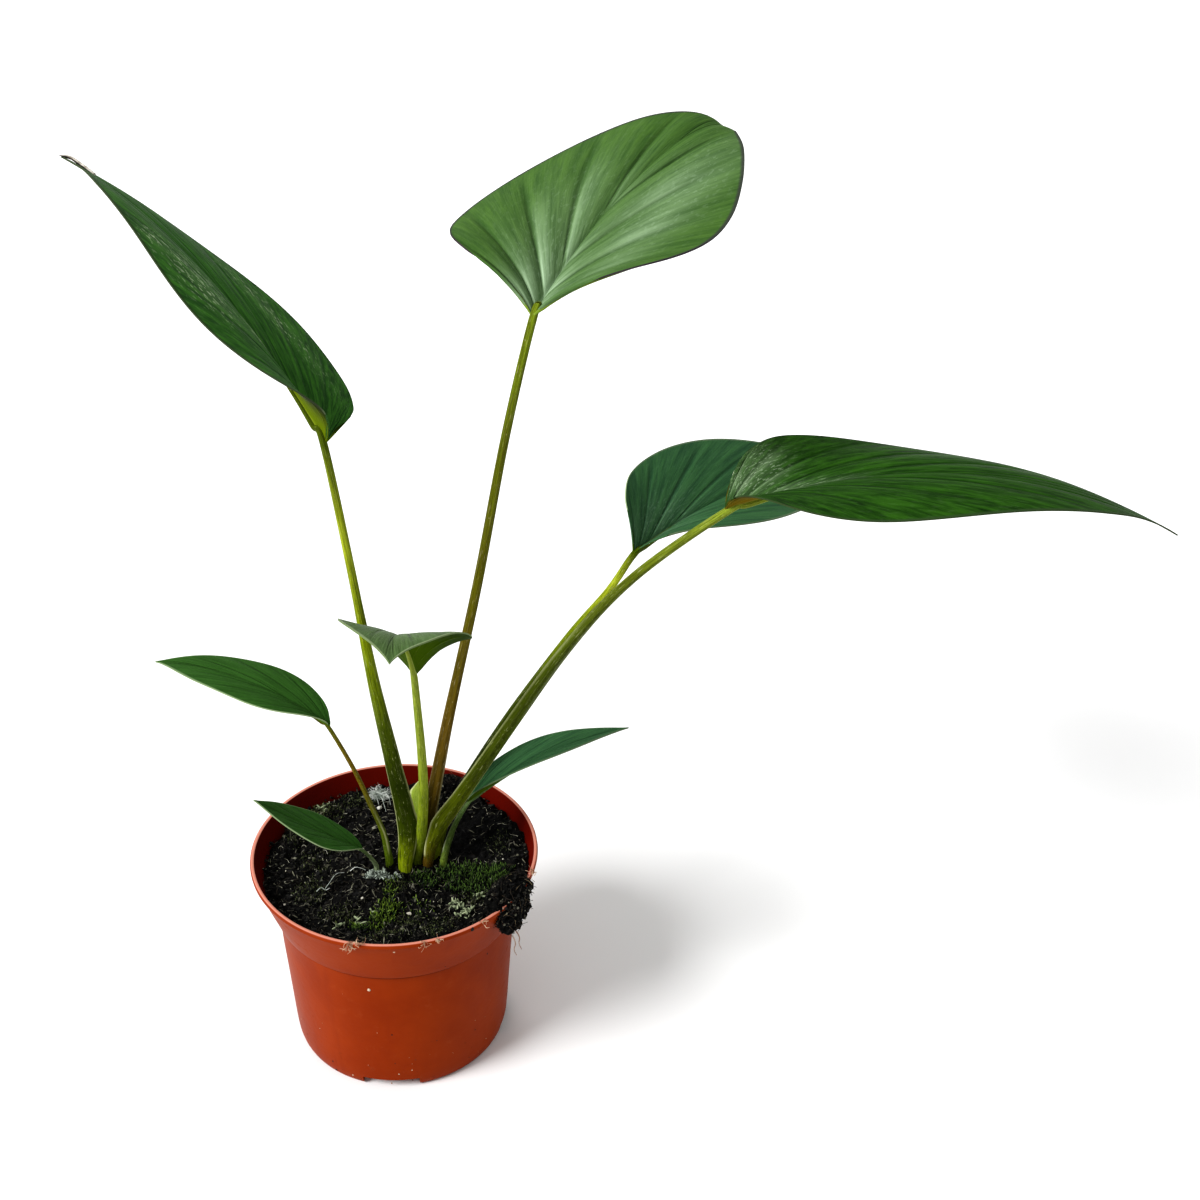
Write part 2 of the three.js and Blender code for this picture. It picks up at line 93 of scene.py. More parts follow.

# Leaves: the blade's form, the stalk's path from soil to blade, and the widths of the stalk's sheath.
# edges lists height above the soil, then how far the stalk reaches to its left and right there.
# bloom lists pale patches of painted sheen on a blade: along, across, reach each way, strength
LEAVES = [
    dict(
        name="tall_left", outline=HEART, length=160, half=37, root=(-17, -5, 285), yaw=132, pitch=49,
        roll=31, arch=40, turn=3, twist=7, fold=(10, 9), cup=(42, 16), curl=(-27, -10), wave=1.3,
        phase=-0.3, pleat=0.25, skin="dark", veins=8,
        bloom=[(0.42, 0.5, 0.1, 0.26, 0.8), (0.56, 0.6, 0.05, 0.2, 0.6), (0.28, 0.08, 0.04, 0.08, 0.9),
               (0.36, -0.6, 0.2, 0.12, 0.5)],
        foot=(4, -3), path=[(5, -2.5, 108), (1, -2.5, 139), (-5, -3, 180), (-11, -4, 232)],
        depth=(2.8, 1.4), faces=-100, stem="olive",
        edges=[(0, 3, 3.1), (12, 3.5, 4.4), (22, 3.8, 5.6), (27, 3.7, 4.7), (50, 3.4, 3.6),
               (90, 2.5, 2.6), (130, 1.7, 1.7), (210, 1.4, 1.4)],
    ),
    dict(
        name="broad_centre", outline=HEART, length=169, half=49, root=(58, -1, 329), yaw=58, pitch=24,
        roll=2, arch=22, turn=-10, twist=5, dip=90, lean=24, fold=(11, 11), cup=(47, 37), curl=(-39, -10),
        wave=1.2, phase=0.1, pleat=2, skin="light", veins=8,
        bloom=[(0.06, 0.06, 0.14, 0.2, 1), (0.3, 0.2, 0.24, 0.3, 0.4), (0.45, -0.45, 0.35, 0.25, 0.7)],
        foot=(10.5, 6.5), path=[(16, 5.5, 110), (24, 4, 154), (37, 2, 219), (48, 0.5, 281)],
        depth=(2.4, 1.5), faces=60, stem="bronze",
        edges=[(0, 2.4, 2.4), (20, 3.1, 3.1), (60, 2.5, 2.5), (90, 2.1, 2.1), (250, 1.5, 1.5)],
    ),
    dict(
        name="long_right", outline=SHIELD, length=188, half=43, root=(132, -1, 248), yaw=-6, pitch=23,
        roll=-8, arch=55, turn=4, twist=-8, fold=(3, 1), cup=(40, 42), curl=(-12, -23), wave=1.2,
        phase=0.4, pleat=0.6, skin="mottled", veins=9,
        bloom=[(0.09, 0.42, 0.05, 0.36, 0.45), (0.04, 0.2, 0.03, 0.14, 0.5),
               (0.17, -0.02, 0.09, 0.08, 0.45)],
        foot=(13.5, -2.5), path=[(18, -2, 102), (39, -1, 138), (70.6, 0, 187.6), (97.6, 0, 219.4)],
        depth=(2.2, 1.6), faces=-60, stem="umber",
        edges=[(0, 2.2, 2.2), (8, 3.4, 3.2), (14, 4.8, 4), (20, 6.8, 4.6), (25, 6.2, 5), (32, 4.8, 5.2),
               (44, 3.8, 5.2), (75, 3, 5), (110, 2.2, 4), (160, 1.7, 1.8)],
    ),
    dict(
        name="right_behind", outline=HEART, length=178, half=32, root=(105, 47, 203), yaw=43, pitch=7,
        roll=12, arch=33, turn=-1, twist=7, fold=(17, 17), cup=(44, 44), curl=(-6, -2), wave=0.7,
        phase=0, pleat=0.35, skin="dusk", veins=8,
        bloom=[(0.1, 0.1, 0.14, 0.3, 0.25)],
        foot=(17, 2.5), path=[(25, 8, 108), (48, 21, 139), (76, 34, 171), (94, 41, 189)],
        depth=(2.1, 1.6), faces=0, stem="olive",
        edges=[(0, 2.1, 2.1), (18, 2.7, 2.7), (60, 2.1, 2.1), (120, 1.6, 1.6)],
    ),
    dict(
        name="small_front", outline=DEEP_HEART, length=94, half=25, root=(11, -16, 190), yaw=-105, pitch=67,
        roll=-1, arch=62, turn=13, twist=-10, fold=(17, 14), cup=(48, 34), curl=(-14, -11),
        wave=0.8, phase=-0.2, pleat=0.25, skin="grey", veins=7,
        bloom=[(0.3, 0, 0.4, 0.6, 0.3)],
        foot=(9.2, 0.4), path=[(11.4, -3.6, 104), (12.7, -9, 129), (12.5, -12, 150), (11.5, -14.5, 174)],
        depth=(2.1, 1.4), faces=-90, stem="fresh",
        edges=[(0, 2.1, 2.1), (18, 2.3, 2.2), (50, 1.9, 1.9), (103, 1.4, 1.4)],
    ),
    dict(
        name="small_left", outline=LANCE, length=78, half=17, root=(-23, -4, 160), yaw=157, pitch=35,
        roll=11, arch=45, turn=0, twist=-6, fold=(11, 8), cup=(35, 28), curl=(-16, -18), wave=0.4,
        phase=0, pleat=0.2, skin="fresh", veins=6,
        foot=(-2.5, 0.5), path=[(-4.5, 0.3, 102), (-9, -1, 118), (-15, -2.5, 138)],
        depth=(1.7, 0.9), faces=200, stem="russet",
        edges=[(0, 1.7, 1.9), (14, 1.8, 2.3), (20, 1.7, 1.8), (40, 1.3, 1.3), (73, 0.9, 0.9)],
    ),
    dict(
        name="lowest_left", outline=LANCE, length=53, half=11, root=(-13, -8, 100), yaw=186, pitch=35,
        roll=3, arch=-5, turn=-1, twist=-5, fold=(9, 7), cup=(28, 22), curl=(-14, -10), wave=0.3,
        phase=-0.1, pleat=0.12, skin="fresh", veins=6,
        foot=(-8, -3), path=[(-10, -5.3, 93)],
        depth=(1.1, 0.7), faces=200, stem="pale",
        edges=[(0, 1.2, 1.2), (6, 0.9, 0.9), (13, 0.7, 0.7)],
    ),
    dict(
        name="small_right", outline=LANCE, length=76, half=13, root=(31, 5, 111), yaw=11, pitch=36,
        roll=-16, arch=35, turn=-1, twist=2, fold=(14, 16), cup=(27, 33), curl=(2, 2), wave=0.3,
        phase=0, pleat=0.15, skin="dusk", veins=6,
        foot=(20, -3), path=[(22, -1, 94), (26, 2, 103)],
        depth=(1.6, 0.9), faces=-60, stem="herb",
        edges=[(0, 1.6, 1.6), (8, 1.9, 1.8), (24, 0.9, 0.9)],
    ),
]

# Paints of a blade. Upper face: deep, bright, vein, streak, margin, then quilt, contrast, haze and sparkle.
# Lower face: deep, bright, vein. Cut edge: light, dark, and how far the light one reaches.
# haze and sparkle are the strengths of the painted sheen and of the painted glints, both in the vein paint
SKINS = {
    "dark": (
        ("#1f401c", "#3d6c28", "#b4c8a0", "#4c7a36", "#2c3a22", 0.6, 1, 0.3),
        ("#232e05", "#5f700c", "#8a9830"), ("#8b9a74", "#3f4a34", 0.15)),
    "mottled": (
        ("#142e0c", "#2f5618", "#a8bc9c", "#3c6624", "#33452a", 0.6, 1, 0.8),
        ("#33360c", "#6a5a10", "#8f8c40"), ("#ccd2b8", "#37452a", 0.3)),
    "light": (
        ("#304e22", "#4a6a2e", "#a0b898", "#64824a", "#39353a", 0.3, 0.65, 1, 0.2),
        ("#4c5c14", "#7d9436", "#a9b860"), ("#4a3f44", "#3c363a")),
    "dusk": (
        ("#2b4c34", "#426c42", "#93b098", "#5a845c", "#6d7e65", 0.1, 0.7),
        ("#2c4404", "#445c08", "#76903a"), ("#93a680", "#5a6c50", 0.4)),
    "grey": (
        ("#3c5228", "#587244", "#a8b89a", "#6c8256", "#8b9a74", 0.4, 0.8),
        ("#263c02", "#3f5606", "#5f7a20"), ("#9aa882", "#6a7a54", 0.4)),
    "fresh": (
        ("#264619", "#3a602a", "#8ab06e", "#4a8030", "#6f8560", 0.2, 0.8),
        ("#3d6a1a", "#56802a", "#8aa24a"), ("#8fa07a", "#7a8c66", 0.5)),
}

# Paints of a stalk: tones from foot to blade, the shaded streaks, and the rims and glints
STEMS = {
    "olive": (
        ["#93a416", "#3f4d08", "#2a3604", "#4c5a0a", "#84940e", "#b0bc30", "#54640c"], "#263004", "#c4c892"),
    "bronze": (["#6a5418", "#66521c", "#665216", "#626012", "#626c16", "#74861e"], "#3c320c", "#c4b690"),
    "fresh": (["#7c9014", "#8c9c2c", "#909e3a", "#8e9c3c"], "#526410", "#ccd29c"),
    "umber": (["#5c4414", "#6e7a14", "#48540c", "#4c5a10", "#66721c", "#8c9c34"], "#343c08", "#ccd098"),
    "russet": (["#6c8418", "#5a6e16", "#626816", "#766a16", "#846c1a", "#6e721e"], "#3c400c", "#b8bc88"),
    "herb": (["#6c7e30", "#56682e", "#556c34", "#6c8450"], "#2c4018", "#bcc8a4"),
    "pale": (["#93a07c", "#8a9a70", "#6c8450"], "#4c6038", "#c8d0b8"),
}

# Lumps of soil over the rim: turn from +X in degrees, reach, height, and size outward, round and up
CLODS = [
    (-36, 55.5, 91, (7.6, 13, 5.4)),
    (-38, 59, 85.5, (4.3, 10, 8.4)),
    (60, 53, 88, (4.6, 8.6, 5.6)),
]

# Growth on the soil: patches of (centre x and y, reach each way, turn, number of shoots)
BRIGHT_MOSS = [
    (-1.8, -11, 3, 3.5, 0, 26), (-3, -18, 2.8, 5, 10, 60), (-4.4, -27, 3.4, 5, 15, 150),
    (-6.6, -34.5, 5, 4.6, 0, 210), (-9, -40, 3.4, 2.5, 0, 60), (-1.1, -28.2, 1.8, 1.8, 0, 40),
    (8, -30, 7, 6, 0, 36), (-17, -39, 3, 3, 0, 60),
]
DEEP_MOSS = [
    (22, -9, 5.5, 5, 0, 160), (33, -13, 8, 6.5, -20, 330), (42, -16, 5.5, 8, 0, 240),
    (27, -20, 7, 4, 0, 170), (10, -12, 5, 3, 0, 110), (14, -16, 4, 3, 0, 60), (36, -24, 6, 4, 0, 100),
    (-15.5, -41.1, 3, 2.4, 0, 70), (46, -20, 4, 4, 0, 80),
]
DULL_MOSS = [
    (-36, 38, 7, 5, 40, 240), (-27, 38, 7, 5, 20, 240), (-14, 44, 8, 4, 0, 230),
    (-42, 24, 4, 8, 0, 160), (4.6, -37.4, 6, 4, 0, 150), (1.4, -14, 4, 5, 0, 90),
    (30.6, -29.3, 8, 5, 0, 170), (-24, -30, 9, 7, 0, 220), (-36, -14, 7, 9, 0, 220),
    (15, -44, 8, 5, 0, 170), (44, 6, 6, 9, 0, 120), (20, 30, 10, 9, 0, 170), (-34, 6, 8, 9, 0, 150),
    (-5, -47, 12, 4, 0, 160),
]
GREY_LICHEN = [
    (23.4, -30.9, 2, 3, 0, 26), (33.2, -27.7, 2.4, 1.4, 20, 26), (26.6, -38.8, 3.4, 1.2, 10, 24),
    (-9.8, -28.5, 1, 1, 0, 9), (-24, -38, 2.4, 1, 30, 9), (-16, -36, 1.4, 2.4, 0, 14),
    (28, -35, 4, 0.8, -40, 14), (-30, 40, 3, 2, 0, 12),
]
BLUE_TUFT = [
    (-10, -6.4, 2.6, 2.2, 0, 100), (-6.5, -7.4, 2.6, 1.7, 0, 80), (-1.5, -8.2, 2.2, 1, 0, 26),
]
PALE_BITS = [(-29.9, 42.7), (-45.7, -22.6), (-27.4, -42.2), (4.3, -32.7), (-14.4, -20.6), (-9.8, -28.5)]
PERLITE = (-5.8, 38.3)

# Fine threads. Tufts of fluff: foot, number, length, spread and rise. Strands and roots: places along each.
WHITE_FLUFF = [
    ((-6, 45, 86.5), 130, 6, 0.9, 0.6), ((-3, 44, 86.5), 70, 4.5, 0.9, 0.5),
    ((-8, 44.5, 87), 50, 4, 0.9, 0.6),
]
WHITE_STRANDS = [
    [(-5, 44, 87.5), (-4.4, 41, 88), (-3.6, 38, 86.2), (-3, 35.5, 85)],
    [(-7, 44, 87.5), (-6.6, 41.5, 87.8), (-6, 39, 86.4)],
    [(-3, 45, 88), (-1.4, 42, 87.8), (-1, 39, 86)],
    [(-29.5, -13.5, 85.2), (-27.8, -11.6, 86.4), (-24.5, -6.8, 87.2), (-21.5, -5.2, 86.2)],
    [(-33, -14.5, 84.9), (-31, -13.6, 86), (-29.2, -14.4, 85.3), (-27.6, -13.9, 85.8)],
    [(-19, -4.4, 86.2), (-16.8, -3.3, 87), (-14.5, -3.1, 86.2), (-12.6, -4, 85.7)],
]
HANGING_ROOTS = [
    [(46, -38, 74), (47, -39.5, 71), (46.4, -40, 68), (47.4, -40.6, 65.5)],
    [(47.5, -36.5, 75), (48.8, -37.6, 72.5), (48.6, -38.5, 70), (49.6, -39, 67)],
]

# Tufts of fibres on the rim: turn in degrees and height, then number, length, spread and rise
RIM_TUFTS = [
    (-108.9, 93, 22, 7, 0.5, -0.75), (-106, 93.2, 10, 4, 0.8, 0.2), (-81.4, 93, 12, 5, 0.6, -0.6),
    (-75.9, 93, 12, 4, 0.7, -0.3), (-21.5, 93, 12, 4, 0.7, 0.3), (-56, 93, 8, 4, 0.7, 0.2),
]

# Splashes on the outside of the pot: turn in degrees, height, size and tone from dark to pale
FINE_SPECKS = 110
WALL_SPECKS = [
    (-92.4, 88.4, 1.2, 1), (-105.7, 59.5, 2, 0.95), (-107.8, 67.7, 0.9, 0.9), (-94, 9, 1, 0.95),
    (-87.2, 10.9, 0.9, 0.9), (-119.7, 4.1, 1.1, 0.9), (-132, 7.7, 1.3, 0.1), (-130.9, 2.6, 1.6, 0.05),
    (-96.3, 33.4, 1, 0.1), (-61.3, 92, 2.2, 0.1), (-58, 91, 1.4, 0.1), (-44, 62, 1, 0.2),
    (-70, 70, 0.8, 0.3), (20, 55, 1, 0.2), (80, 40, 1.2, 0.1), (130, 72, 1, 0.3), (170, 30, 1.1, 0.1),
    (-160, 50, 0.9, 0.8),
]

# The free wing of the front sheath: the way it faces, its middle line, and its half width from foot to tip
LIGULE_FACES = -75
LIGULE_PATH = [
    (9.4, 2.4, 85), (9.5, 1.9, 97), (9.6, 1.5, 109), (10, 2, 117), (11.8, 2.5, 123), (13.2, 2.9, 127),
]
LIGULE_HALF = [(0, 1.1), (0.35, 1.3), (0.55, 1.9), (0.7, 2.5), (1, 0.1)]


# Camera and studio

def add_camera(pan, tilt, roll, place, focal):
    """Pans to the right and tilts down. place is in metres, and focal in widths of the picture."""
    pan, tilt, roll = (math.radians(angle) for angle in (pan, tilt, roll))
    ahead = Vector((math.sin(pan) * math.cos(tilt), math.cos(pan) * math.cos(tilt), -math.sin(tilt)))
    level = Vector((math.cos(pan), -math.sin(pan), 0))
    above = level.cross(ahead)
    right = level * math.cos(roll) + above * math.sin(roll)
    up = above * math.cos(roll) - level * math.sin(roll)
    bpy.ops.object.camera_add()
    camera = bpy.context.object
    camera.name = "camera"
    camera.matrix_world = Matrix.Translation(place) @ Matrix((right, up, -ahead)).transposed().to_4x4()
    camera.data.lens = camera.data.sensor_width * focal
    bpy.context.scene.camera = camera


def add_light(name, kind, place, shines_towards, power, **shape):
    """A light at a place in metres. shape is what else is set on it."""
    bpy.ops.object.light_add(type=kind, location=place)
    light = bpy.context.object
    light.name = name
    light.data.energy = power
    for key, value in shape.items():
        setattr(light.data, key, value)
    light.rotation_euler = Vector(shines_towards).to_track_quat("-Z", "Y").to_euler()


# Shader expressions

class Shade:
    """A socket of a material. Arithmetic on it adds Math nodes."""

    def __init__(self, tree, socket=None):
        self.tree = tree
        self.socket = socket

    def node(self, kind, settings=(), inputs=(), out=0):
        made = self.tree.nodes.new("ShaderNode" + kind)
        for key, value in dict(settings).items():
            setattr(made, key, value)
        for key, value in dict(inputs).items():
            if isinstance(value, Shade):
                self.tree.links.new(value.socket, made.inputs[key])
            else:
                made.inputs[key].default_value = value
        return Shade(self.tree, made.outputs[out])

    def math(self, operation, other=0.0, swap=False):
        pair = (other, self) if swap else (self, other)
        return self.node("Math", {"operation": operation}, {0: pair[0], 1: pair[1]})

    def __add__(self, other):
        return self.math("ADD", other)

    def __sub__(self, other):
        return self.math("SUBTRACT", other)

    def __rsub__(self, other):
        return self.math("SUBTRACT", other, swap=True)

    def __mul__(self, other):
        return self.math("MULTIPLY", other)

    __radd__ = __add__
    __rmul__ = __mul__


def paint(code):
    """A colour written as #rrggbb, as the linear colour that a shader takes."""
    parts = [int(code[i:i + 2], 16) / 255 for i in (1, 3, 5)]
    return tuple(p / 12.92 if p <= 0.04045 else ((p + 0.055) / 1.055) ** 2.4 for p in parts) + (1,)


def new_material(name, finish):
    """A material with the fixed values of finish, and a Shade to build the rest of its tree with."""
    material = bpy.data.materials.new(name)
    material.use_nodes = True
    shader = material.node_tree.nodes["Principled BSDF"]
    for key, value in finish.items():
        shader.inputs[key].default_value = value
    return material, Shade(material.node_tree)


def feed(material, **links):
    """Joins values to the shader: colour, glow, roughness, and bump as a height and its depth in metres."""
    tree = material.node_tree
    shader = tree.nodes["Principled BSDF"]
    names = {"colour": "Base Color", "glow": "Emission Color", "roughness": "Roughness"}
    for key, name in names.items():
        if key in links:
            tree.links.new(links[key].socket, shader.inputs[name])
    if "bump" in links:
        height, depth = links["bump"]
        normal = height.node("Bump", inputs={"Height": height, "Distance": depth, "Strength": 1.0})
        tree.links.new(normal.socket, shader.inputs["Normal"])
    return material


def mixed(factor, first, second):
    """One colour over another, by a factor. Either colour may be a Shade or a fixed colour."""
    return factor.node("Mix", {"data_type": "RGBA"}, {0: factor, 6: first, 7: second}, out=2)


def layered(colour, *coats):
    """A colour under coats of paint. Each coat is how much it covers and its colour."""
    for cover, code in coats:
        colour = mixed(cover, colour, paint(code))
    return colour


def between(value, low, high):
    """0 below low, 1 above high, and a smooth step from one to the other."""
    return value.node(
        "MapRange", {"interpolation_type": "SMOOTHSTEP"}, {0: value, 1: low, 2: high, 3: 0.0, 4: 1.0})


def noise(place, scale, detail=3.0, roughness=0.5, distortion=0.0):
    return place.node("TexNoise", inputs={
        "Vector": place, "Scale": scale, "Detail": detail, "Roughness": roughness,
        "Distortion": distortion})


def object_place(shade):
    return shade.node("TexCoord", out=3)


def noise_over(x, y, z, *form):
    """Noise in a space of its own, such as along a leaf, across it and for each side."""
    return noise(x.node("CombineXYZ", inputs={0: x, 1: y, 2: z}), 1.0, *form)


def stretched(place, scale):
    return place.node("Mapping", inputs={0: place, 3: scale})


def attribute(shade, name):
    return shade.node("Attribute", {"attribute_name": name}, out=2)


def ramp(value, codes):
    """The colours in turn, as value runs from 0 to 1."""
    made = value.node("ValToRGB", inputs={0: value})
    stops = made.socket.node.color_ramp.elements
    while len(stops) < len(codes):
        stops.new(0.5)
    for i, (stop, code) in enumerate(zip(stops, codes)):
        stop.position = i / (len(codes) - 1)
        stop.color = paint(code)
    return made


# Materials

# A lower index of refraction than a real leaf's gives less haze on faces that are seen at a slant
WAX_IOR = 1.045
STEM_IOR = 1.1


def blade_places(shade):
    """Where a point lies on its blade: how far along its vein meets the margin, which side, how far out."""
    share = attribute(shade, "share")
    across = attribute(shade, "across")
    return share, across, across.math("ABSOLUTE")


def fold_of(shade, share):
    """Where a point lies between one sunken side vein, at 0, and the next, at 1."""
    return (share * attribute(shade, "veins") + 0.5).math("FRACT")


def vein_lines(shade, share, out, low, high):
    """Fine lines along the sunken side veins."""
    edge = (fold_of(shade, share) - 0.5).math("ABSOLUTE") * 2
    return between(edge, low, high) * between(1 - out, 0.02, 0.35) * between(out, 0.02, 0.1)


def blade_material(name, deep, bright, vein, streak, margin, quilt=0.3, contrast=1.0, haze=1.0, sparkle=0.9):
    """The upper face of a blade. quilt is how much its tone follows patches rather than streaks; haze and
    sparkle are how much the painted sheen pales it all over and in small painted glints."""
    material, shade = new_material(name, {"IOR": WAX_IOR})
    share, across, out = blade_places(shade)
    side = across.math("GREATER_THAN", 0.0) * 9
    fold = fold_of(shade, share)
    bloom = attribute(shade, "bloom")
    streaks = noise_over(share * 46, out * 1.6, side, 6.0, 0.68)
    threads = noise_over(share * 260, out * 3, side, 2.0)
    patches = noise_over(share * 60, out * 6, side, 4.0, 0.6, 0.3)
    glints = noise_over(share * 90, out * 26, side, 3.0, 0.6)

    spread = 0.14 / contrast
    tone = between(streaks * (1 - quilt) + patches * quilt, 0.5 - spread, 0.5 + spread)
    sunk = vein_lines(shade, share, out, 0.78, 0.98)
    # crest picks one side of each pleat, where the painted sheen is strongest: a painted highlight on the
    # pleats
    crest = between(1 - fold, 0.3, 1.0) * between(fold, 0.02, 0.1) * between(1 - out, 0.1, 0.6)
    near_base = 1 - between(share, 0.5, 0.8)
    colour = layered(
        mixed(tone, paint(deep), paint(bright)),
        (between(threads, 0.42, 0.68) * 0.16, streak),
        # Painted shade: the deep paint darkens the grooves of the sunken side veins
        (sunk * 0.55, deep),
        # Painted sheen: a pale coat of the vein paint where the leaf lists its sheen, strongest on the
        # pleats' crests
        (bloom * (between(streaks, 0.3, 0.62) * 0.6 + 0.4) * (crest * 0.65 + 0.35) * haze, vein),
        ((1 - between(out, 0.006, 0.03)) * 0.6 * near_base, vein),
        ((1 - between(out, 0.02, 0.06)) * 0.4 * (1 - near_base), deep),
        # Painted glints: small pale flecks of the vein paint, mostly within the painted sheen
        (between(glints, 0.56, 0.62) * (bloom * sparkle + 0.02), vein),
        (between(out, 0.97, 0.99) * 0.8, margin))
    return feed(material, colour=colour, roughness=streaks * 0.2 + patches * 0.12 + 0.24,
                bump=(streaks * 0.5 + patches * 0.4 - sunk * 0.5, 0.0006))


def underside_material(name, deep, bright, vein):
    """The lower face of a blade, brightest beside its midrib."""
    material, shade = new_material(name, {"IOR": WAX_IOR})
    share, across, out = blade_places(shade)
    lateral = vein_lines(shade, share, out, 0.86, 0.99)
    streaks = noise_over(share * 40, out * 3.2, across * 4, 4.0)
    colour = layered(
        mixed(between(streaks * 0.4 + out, 0.25, 1.1), paint(bright), paint(deep)),
        (lateral * 0.3, vein),
        ((1 - between(out, 0.01, 0.06)) * 0.7, vein))
    return feed(material, colour=colour, roughness=streaks * 0.2 + 0.42,
                bump=(lateral * 0.6 + streaks * 0.4, 0.0004))


def margin_material(name, light, dark, reach=0.25):
    """The thin cut edge of a blade: light at the left of its root, and dark from reach onwards."""
    material, shade = new_material(name, {"IOR": WAX_IOR})
    share, across, _ = blade_places(shade)
    fine = noise(object_place(shade), 160.0)
    beside_root = (1 - between(share + fine * 0.1, reach, reach + 0.2)) * across.math("GREATER_THAN", 0.0)
    return feed(material, colour=mixed(beside_root, paint(dark), paint(light)), roughness=fine * 0.2 + 0.4)


def stem_material(name, tones, shaded, rim, shine=0.0):
    """A stalk. tones runs from its foot to its blade, and edge marks the thin margins of its sheath."""
    # shine makes the stalk glow in its own colour, which is painted light
    material, shade = new_material(name, {"IOR": STEM_IOR, "Emission Strength": shine})
    climb = attribute(shade, "climb")
    around = attribute(shade, "around")
    streak = noise_over(climb * 12, around * 22, 5.0, 4.0, 0.6)
    grain = noise_over(climb * 9, around * 44, 0.0, 5.0, 0.66)
    blotch = noise_over(climb * 30, around * 8, 3.0, 4.0, 0.65)
    glint = noise_over(climb * 46, around * 36, 9.0, 2.0, 0.5)
    speck = noise(object_place(shade), 900.0, 2.0)
    colour = layered(
        ramp(climb, tones),
        (between(streak * 0.5 + grain * 0.3 + blotch * 0.2, 0.45, 0.6) * 0.75, shaded),
        # Painted highlights: pale grain lines and glints of the rim paint along the stalk
        (between(grain, 0.58, 0.7) * 0.4, rim),
        (between(glint, 0.64, 0.7) * 0.45, rim),
        (between(speck, 0.66, 0.75) * 0.22, rim),
        (attribute(shade, "edge") * 0.85, rim))
    return feed(material, colour=colour, glow=colour, roughness=grain * 0.2 + 0.3,
                bump=(grain + streak, 0.0004))


def plastic_material():
    """Moulded brown-orange plastic: faint flow marks, dust, water stains and scuffs. It also carries painted
    shade under the band's step and inside the pot, and a painted highlight along the top of the lip.
    """
    material, shade = new_material("pot_plastic", {"IOR": 1.12})
    spot = object_place(shade)
    x, y, height = (spot.node("SeparateXYZ", inputs={0: spot}, out=axis) for axis in range(3))
    cloud = noise(spot, 24.0, 4.0, 0.6)
    grain = noise(spot, 420.0, 3.0, 0.6)
    runs = noise(stretched(spot, (90.0, 90.0, 7.0)), 1.0, 4.0, 0.6)
    dust = between(noise(spot, 150.0, 5.0, 0.7), 0.56, 0.74)
    dirt = between(noise(spot, 300.0, 4.0, 0.7), 0.62, 0.72) * between(height, 0.05, -0.005)
    radius = (x * x + y * y).math("SQRT")
    depth_in = (height - BAND_FOOT * MM) * BAND_SLOPE + BAND_RADIUS * MM - radius
    under_step = (height - (BAND_FOOT - 1) * MM).math("ABSOLUTE")
    colour = layered(
        mixed(between(cloud, 0.3, 0.7), paint("#7e2a02"), paint("#8b3304")),
        (between(runs, 0.52, 0.75) * 0.28, "#701f04"),
        (dust * 0.05, "#c98a68"),
        (dirt * 0.5, "#40180a"),
        # Painted shade: a dark line just under the step at the foot of the rim's band
        (between(under_step, 0.0011, 0.0004) * 0.6, "#4c1402"),
        # Painted shade: inside the band's slope, the wall within the pot is a darker red
        (between(depth_in, 0.0008, 0.0012), "#5e0f03"),
        # Painted highlight: a pale line along the top of the lip
        (between(height, (RIM_HEIGHT - 0.4) * MM, (RIM_HEIGHT - 0.1) * MM) * 0.75, "#d59280"))
    return feed(material, colour=colour, roughness=cloud * 0.16 + dust * 0.2 + 0.32,
                bump=(grain * 0.35 + cloud * 0.6, 0.0002))


def peat_material():
    """Nearly black peat, with crisp flecks of dry brown and grey, except in the shaded patch at the right,
    which stays bare of them as painted shade.
    """
    material, shade = new_material("peat", {"Specular IOR Level": 0.12})
    spot = object_place(shade)
    coarse = noise(spot, 260.0, 4.0, 0.65)
    fine = noise(spot, 1100.0, 4.0, 0.7)
    flecks = noise(stretched(spot, (700.0, 1500.0, 900.0)), 1.0, 3.0, 0.6)
    # The shaded patch at the right stays bare of pale flecks: painted shade
    hollow = (SHADED_PATCH[0] * MM, SHADED_PATCH[1] * MM, SOIL_LEVEL * MM)
    away = spot.node("VectorMath", {"operation": "DISTANCE"}, {0: spot, 1: hollow}, out=1)
    bare = between(away, 0.5 * SHADED_PATCH_REACH * MM, 1.2 * SHADED_PATCH_REACH * MM)
    colour = layered(
        mixed(between(coarse, 0.4, 0.7), paint("#020202"), paint("#090806")),
        (between(fine, 0.6, 0.7) * 0.6, "#272319"),
        (between(flecks, 0.67, 0.7) * 0.55 * bare, "#6a6654"))
    return feed(material, colour=colour, roughness=fine * 0.3 + 0.62,
                bump=(fine * 0.6 + coarse * 0.6, 0.0014))


def crumb_material(name, tones, rough=0.8):
    """Loose bits. The attribute shade, from 0 to 1, picks each bit's tone."""
    material, shade = new_material(name, {"Specular IOR Level": 0.3})
    fine = noise(object_place(shade), 1500.0, 3.0, 0.6)
    colour = mixed(fine * 0.6, ramp(attribute(shade, "shade"), tones), paint(tones[0]))
    return feed(material, colour=colour, roughness=fine * 0.25 + (rough - 0.12), bump=(fine, 0.0004))


